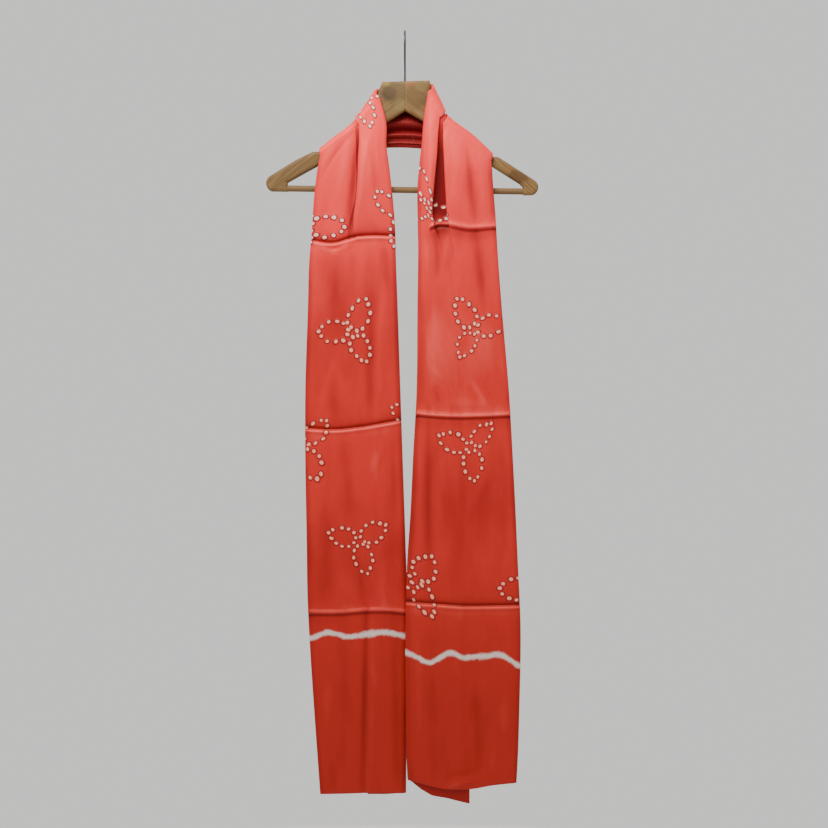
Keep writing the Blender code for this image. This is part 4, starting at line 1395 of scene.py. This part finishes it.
    def tied_dots(self, fin: Finish, spot: Any) -> tuple[Any, Any, Any]:
        """The rings of tied dots round each trefoil's three petals.

        Args:
            fin: The material to add to.
            spot: Place on the piece.

        Returns:
            Where the dots are undyed, where each has its dark core, and the painted shadow of the ties.
        """
        third, step = 2 * math.pi / 3, 2 * math.pi / self.dots
        place = fin.add("UVMap", uv_map="motif")
        place = fin.add("VectorMath", {0: place, "Scale": MOTIF_UNIT}, operation="SCALE")
        stray = fin.add("TexNoise", {"Vector": spot, "Scale": 22.0, "Detail": 1.0}, "Color")
        stray = fin.add("VectorMath", {0: stray, 1: (0.5, 0.5, 0.5)}, operation="SUBTRACT")
        stray = fin.add("VectorMath", {0: stray, 1: (2 * self.drift, 2 * self.drift, 0), 2: place},
                        operation="MULTIPLY_ADD")
        place = fin.add("SeparateXYZ", {0: stray})
        x, y = place.node.outputs["X"], place.node.outputs["Y"]
        angle = fin.add("Math", {0: y, 1: x}, operation="ARCTAN2")
        petal = fin.add("Math", {0: angle, 1: third}, operation="DIVIDE")
        petal = fin.add("Math", {0: petal}, operation="ROUND")
        angle = fin.add("Math", {0: petal, 1: -third, 2: angle}, operation="MULTIPLY_ADD")
        trefoil = fin.add("Attribute", out="Fac", attribute_name="motif_id")
        chance = fin.add("TexWhiteNoise", {"Vector": fin.add("CombineXYZ", {0: petal, 1: trefoil})}, "Color")
        chance = fin.add("SeparateColor", {0: chance})
        grown = fin.add("MapRange", {0: chance, 3: 0.92, 4: 1.06})
        leant = fin.add("MapRange", {0: chance.node.outputs[1], 3: -0.14, 4: 0.14})
        angle = fin.add("Math", {0: angle, 1: leant}, operation="ADD")
        reach = fin.add("VectorMath", {0: stray}, "Value", operation="LENGTH")
        reach = fin.add("Math", {0: reach, 1: grown}, operation="DIVIDE")
        cosine = fin.add("Math", {0: angle}, operation="COSINE")
        sine = fin.add("Math", {0: angle}, operation="SINE")
        x = fin.add("Math", {0: reach, 1: cosine}, operation="MULTIPLY")
        y = fin.add("Math", {0: reach, 1: sine}, operation="MULTIPLY")
        here = fin.add("CombineXYZ", {0: x, 1: y})
        ring_x = fin.add("MapRange", {0: x, 1: self.petal_centre, 2: self.petal_centre + self.petal_length},
                         clamp=False)
        ring_y = fin.add("Math", {0: y, 1: self.petal_width}, operation="DIVIDE")
        angle = fin.add("Math", {0: ring_y, 1: ring_x}, operation="ARCTAN2")
        number = fin.add("Math", {0: angle, 1: step}, operation="DIVIDE")
        number = fin.add("Math", {0: number}, operation="ROUND")
        angle = fin.add("Math", {0: number, 1: step}, operation="MULTIPLY")
        cosine = fin.add("Math", {0: angle}, operation="COSINE")
        sine = fin.add("Math", {0: angle}, operation="SINE")
        dot_x = fin.add("Math", {0: cosine, 1: self.petal_length, 2: self.petal_centre},
                        operation="MULTIPLY_ADD")
        tip = fin.add("Math", {0: cosine, 1: 0.0}, operation="MAXIMUM")
        tip = fin.add("Math", {0: tip, 1: 5.0}, operation="POWER")
        dot_x = fin.add("Math", {0: tip, 1: self.petal_tip, 2: dot_x}, operation="MULTIPLY_ADD")
        width = fin.add("Math", {0: cosine, 1: -0.12 * self.petal_width, 2: self.petal_width},
                        operation="MULTIPLY_ADD")
        dot_y = fin.add("Math", {0: sine, 1: width}, operation="MULTIPLY")
        centre = fin.add("CombineXYZ", {0: dot_x, 1: dot_y})
        key = fin.add("CombineXYZ", {0: number, 1: petal, 2: trefoil})
        chance = fin.add("TexWhiteNoise", {"Vector": key}, "Color")
        jitter = fin.add("VectorMath", {0: chance, 1: (0.5, 0.5, 0.5)}, operation="SUBTRACT")
        centre = fin.add("VectorMath", {0: jitter, 1: (3.0, 3.0, 0.0), 2: centre}, operation="MULTIPLY_ADD")
        off = fin.add("VectorMath", {0: here, 1: centre}, operation="SUBTRACT")
        # A tied pinch of cloth leaves a little oval.
        off = fin.add("VectorMath", {0: off, 1: (0.92, 1.1, 0)}, operation="MULTIPLY")
        off = fin.add("VectorMath", {0: off}, "Value", operation="LENGTH")
        size = fin.add("MapRange", {0: fin.add("TexWhiteNoise", {"Vector": key}, "Value"), 3: 0.88, 4: 1.12})
        off = fin.add("Math", {0: off, 1: size}, operation="MULTIPLY")
        dot = fin.add("MapRange", {0: off, 1: self.dot + 1.1, 2: self.dot - 1.2, 4: 0.94},
                      interpolation_type="SMOOTHSTEP")
        core = fin.add("MapRange", {0: off, 1: 1.4, 2: 0.4, 4: 0.5}, interpolation_type="SMOOTHSTEP")
        halo = fin.add("MapRange", {0: off, 1: self.dot + 3.4, 2: self.dot + 0.9, 4: 0.9},
                       interpolation_type="SMOOTHSTEP")
        return dot, core, halo


@dataclass(frozen=True)
class SewingThread:
    """Spun polyester sewing thread, dyed to match: matt, a little darker than the cloth."""

    colour: str = "#A83A30"

    def build(self) -> bpy.types.Material:
        """Put the material together.

        Returns:
            The material.
        """
        fin = Finish("polyester_sewing_thread")
        spot = fin.add("TexCoord", out="Object")
        twist = fin.add("TexNoise", {"Vector": spot, "Scale": 1500.0, "Detail": 2.0})
        tone = fin.add("Mix", {0: twist, 6: self.colour, 7: "#7C1D18"}, 2, data_type="RGBA")
        return fin.surface({"Base Color": tone, "Roughness": 0.75})


class Patch(NamedTuple):
    """A soft-edged patch of another tone on the wood, or a painted highlight: its centre, half sizes in
    millimetres and strength.
    """

    x: float
    z: float
    wide: float
    high: float
    colour: str
    strength: float


@dataclass(frozen=True)
class HangerWood:
    """Lotus wood, sawn, rounded and wax-finished: warm khaki brown with long fine grain, old knocks and
    painted highlights.
    """

    name: str
    grain_turn: float               # degrees from +X to the grain, in the front's plane
    light: str = "#775C36"
    dark: str = "#5A4426"
    patches: tuple[Patch, ...] = ()

    def build(self) -> bpy.types.Material:
        """Put the material together.

        Returns:
            The material.
        """
        fin = Finish(self.name)
        spot = fin.add("TexCoord", out="Object")
        level = (0.0, math.radians(self.grain_turn), 0.0)
        # Pores 0.9 mm wide and 30 mm long, growth rings about 4 mm apart.
        pores = fin.add("Mapping", {"Vector": spot, "Rotation": level})
        pores = fin.add("Mapping", {"Vector": pores, "Scale": (33.0, 1100.0, 1100.0)})
        pores = fin.add("TexNoise", {"Vector": pores, "Scale": 1.0, "Detail": 3.0})
        rings = fin.add("Mapping", {"Vector": spot, "Rotation": level})
        rings = fin.add("Mapping", {"Vector": rings, "Scale": (12.0, 120.0, 240.0)})
        rings = fin.add("TexNoise", {"Vector": rings, "Scale": 1.0, "Detail": 2.0, "Distortion": 0.6})
        cloudy = fin.add("TexNoise", {"Vector": spot, "Scale": 60.0, "Detail": 3.0})
        share = fin.add("MapRange", {0: rings, 1: 0.36, 2: 0.66})
        tone = fin.add("Mix", {0: share, 6: self.dark, 7: self.light}, 2, data_type="RGBA")
        share = fin.add("MapRange", {0: pores, 1: 0.38, 2: 0.62, 3: 0.3, 4: 0.0})
        tone = fin.add("Mix", {0: share, 6: tone, 7: "#3E2A15"}, 2, data_type="RGBA")
        for patch in self.patches:
            off = fin.add("VectorMath", {0: spot, 1: (patch.x * MM, 0, patch.z * MM)}, operation="SUBTRACT")
            scale = (1 / (patch.wide * MM), 0.0, 1 / (patch.high * MM))
            off = fin.add("VectorMath", {0: off, 1: scale}, operation="MULTIPLY")
            off = fin.add("VectorMath", {0: off}, "Value", operation="LENGTH")
            off = fin.add("Math", {0: cloudy, 1: 0.9, 2: off}, operation="MULTIPLY_ADD")
            share = fin.add("MapRange", {0: off, 1: 1.6, 2: 1.05, 4: patch.strength},
                            interpolation_type="SMOOTHSTEP")
            tone = fin.add("Mix", {0: share, 6: tone, 7: patch.colour}, 2, data_type="RGBA")
        edges = fin.add("NewGeometry", out="Pointiness")
        worn = fin.add("MapRange", {0: edges, 1: 0.52, 2: 0.60, 4: 0.25})
        tone = fin.add("Mix", {0: worn, 6: tone, 7: "#A88A60"}, 2, data_type="RGBA")
        normal = fin.add("Bump", {"Height": pores, "Distance": 0.0002, "Strength": 0.5})
        rough = fin.add("MapRange", {0: cloudy, 1: 0.3, 2: 0.7, 3: 0.50, 4: 0.66})
        return fin.surface({
            "Base Color": tone, "Roughness": rough, "Specular IOR Level": 0.2, "Normal": normal,
        })


LEFT_ARM_WOOD = HangerWood("lotus_wood_waxed_left_arm", 41.0, patches=table_of(
    Patch, (-16, -98, 24, 26, "#382A10", 0.66), (-24, -102, 13, 13, "#2A1E12", 0.85),
    # The patch at (-31, -86) is a painted highlight on the block's top corner.
    (-31, -86, 9, 5, "#8C7830", 0.45), (-8, -122, 12, 12, "#6E6238", 0.4),
    (-120, -196, 60, 4, "#3A2A1A", 0.35),
))
RIGHT_ARM_WOOD = HangerWood("lotus_wood_waxed_right_arm", -42.0, "#82643C", "#664C2A", patches=table_of(
    Patch, (20, -104, 26, 28, "#443414", 0.62), (9, -87, 12, 4, "#8A4A20", 0.5),
    (186, -240, 20, 12, "#4A3216", 0.7), (26, -92, 10, 8, "#7C6638", 0.35),
    (30, -116, 8, 5, "#453420", 0.45), (170, -226, 5, 4, "#8A4A22", 0.4),
))
BAR_WOOD = HangerWood("lotus_wood_waxed_bar", 0.0, "#5C3E1E", "#442C12", patches=table_of(
    # The long thin patch at (60, -246) is a painted highlight along the bar's middle.
    Patch, (182, -247, 3, 3, "#241810", 0.8), (60, -246, 130, 1.8, "#7C5C36", 0.4),
))


@dataclass(frozen=True)
class GalvanisedWire:
    """Drawn steel wire, electro-galvanised: dull dark grey, with soft streaks along its drawing."""

    dark: str = "#303132"
    light: str = "#66686A"

    def build(self) -> bpy.types.Material:
        """Put the material together.

        Returns:
            The material.
        """
        fin = Finish("galvanised_steel_wire")
        spot = fin.add("TexCoord", out="Object")
        # Zinc spangle about 2 mm across, and drawing marks much finer.
        spangle = fin.add("TexVoronoi", {"Vector": spot, "Scale": 480.0, "Randomness": 1.0}, "Color")
        marks = fin.add("TexNoise", {"Vector": spot, "Scale": 2200.0, "Detail": 3.0})
        share = fin.add("Mix", {0: 0.5, 6: spangle, 7: marks}, 2, data_type="RGBA")
        tone = fin.add("Mix", {0: share, 6: self.dark, 7: self.light}, 2, data_type="RGBA")
        rough = fin.add("MapRange", {0: marks, 3: 0.32, 4: 0.5})
        normal = fin.add("Bump", {"Height": marks, "Distance": 0.00005, "Strength": 0.4})
        return fin.surface({"Base Color": tone, "Metallic": 1.0, "Roughness": rough, "Normal": normal})


@dataclass(frozen=True)
class PaintedFloor:
    """Studio floor, rolled with matt emulsion paint: pale and even, with a faint grain."""

    colour: str = "#E9E8E6"

    def build(self) -> bpy.types.Material:
        """Put the material together.

        Returns:
            The material.
        """
        fin = Finish("matt_emulsion_paint")
        spot = fin.add("TexCoord", out="Object")
        grain = fin.add("TexNoise", {"Vector": spot, "Scale": 400.0, "Detail": 2.0})
        tone = fin.add("Mix", {0: grain, 6: self.colour, 7: "#E2E1DF"}, 2, data_type="RGBA")
        return fin.surface({"Base Color": tone, "Roughness": 0.9})


# --- the hanger, the studio and the whole -----------------------------------------------------
@dataclass(frozen=True)
class Hanger:
    """The wooden coat hanger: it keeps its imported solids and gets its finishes."""

    finishes: tuple[tuple[str, Any], ...] = (
        ("hanger_arm_left", LEFT_ARM_WOOD), ("hanger_arm_right", RIGHT_ARM_WOOD),
        ("trouser_bar", BAR_WOOD), ("hook", GalvanisedWire()),
    )

    def dress(self, nodes: dict) -> None:
        """Give each solid its finish.

        Args:
            nodes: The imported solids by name.
        """
        for name, finish in self.finishes:
            nodes[name].data.materials.clear()
            nodes[name].data.materials.append(finish.build())
            LOG.info("%s: %s", name, nodes[name].data.materials[0].name)


class Lamp(NamedTuple):
    """A soft square light that faces the middle of the stole: its place, side in metres, watts and colour."""

    name: str
    place: tuple[float, float, float]
    side: float
    power: float
    colour: str


@dataclass(frozen=True)
class Studio:
    """A pale floor far below, soft light from above and in front, and the camera."""

    floor_height: float = -1.85
    floor_radius: float = 2.4
    lamps: tuple[Lamp, ...] = (
        Lamp("key_light", (-0.4, -0.95, 0.75), 0.8, 40.0, "#FFF9F2"),
        Lamp("back_light", (0.3, 2.4, 0.6), 2.4, 26.0, "#FFFFFF"),
    )
    lit: tuple[float, float, float] = (0.0, 0.0, -0.65)
    room_colour: str = "#F3F2F0"
    room_strength: float = 0.95
    camera_place: tuple[float, float, float] = (0.015, -3.0, -0.63)
    seen_width: float = 1.3662      # of the plane that the stole hangs in
    sensor: float = 36.0

    def build(self) -> None:
        """Make the floor, the lights, the surroundings and the camera."""
        disc = bmesh.new()
        place = Matrix.Translation((0, 0, self.floor_height))
        bmesh.ops.create_circle(disc, cap_ends=True, segments=96, radius=self.floor_radius, matrix=place)
        floor = new_object("floor", new_mesh("floor", disc))
        floor.data.materials.append(PaintedFloor().build())
        for lamp in self.lamps:
            self.add_light(lamp)
        world = bpy.data.worlds.new("pale_room")
        world.use_nodes = True
        surroundings = world.node_tree.nodes["Background"]
        surroundings.inputs["Color"].default_value = linear(self.room_colour)
        surroundings.inputs["Strength"].default_value = self.room_strength
        bpy.context.scene.world = world
        self.set_camera()

    def add_light(self, lamp: Lamp) -> None:
        """Add a light.

        Args:
            lamp: The light.
        """
        light = bpy.data.lights.new(lamp.name, "AREA")
        light.size, light.energy, light.color = lamp.side, lamp.power, linear(lamp.colour)[:3]
        obj = new_object(lamp.name, light)
        obj.location = lamp.place
        obj.rotation_euler = (Vector(self.lit) - Vector(lamp.place)).to_track_quat("-Z", "Y").to_euler()

    def set_camera(self) -> None:
        """Set the camera up level, with a lens that sees the wanted width."""
        lens = bpy.data.cameras.new("camera")
        lens.sensor_width = self.sensor
        lens.lens = -self.sensor * self.camera_place[1] / self.seen_width
        camera = new_object("camera", lens)
        camera.location = self.camera_place
        camera.rotation_euler = (math.radians(90), 0, 0)
        bpy.context.scene.camera = camera


def main() -> None:
    """Build and dress the whole."""
    logging.basicConfig(level=logging.INFO, format="%(name)s: %(message)s")
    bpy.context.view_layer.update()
    Hanger().dress(frame["nodes"])
    for piece in Stole().build(DyedSatin().build(), SewingThread().build()):
        LOG.info("%s: %d faces", piece.name, len(piece.data.polygons))
    Studio().build()


if __name__ == "__main__":
    main()
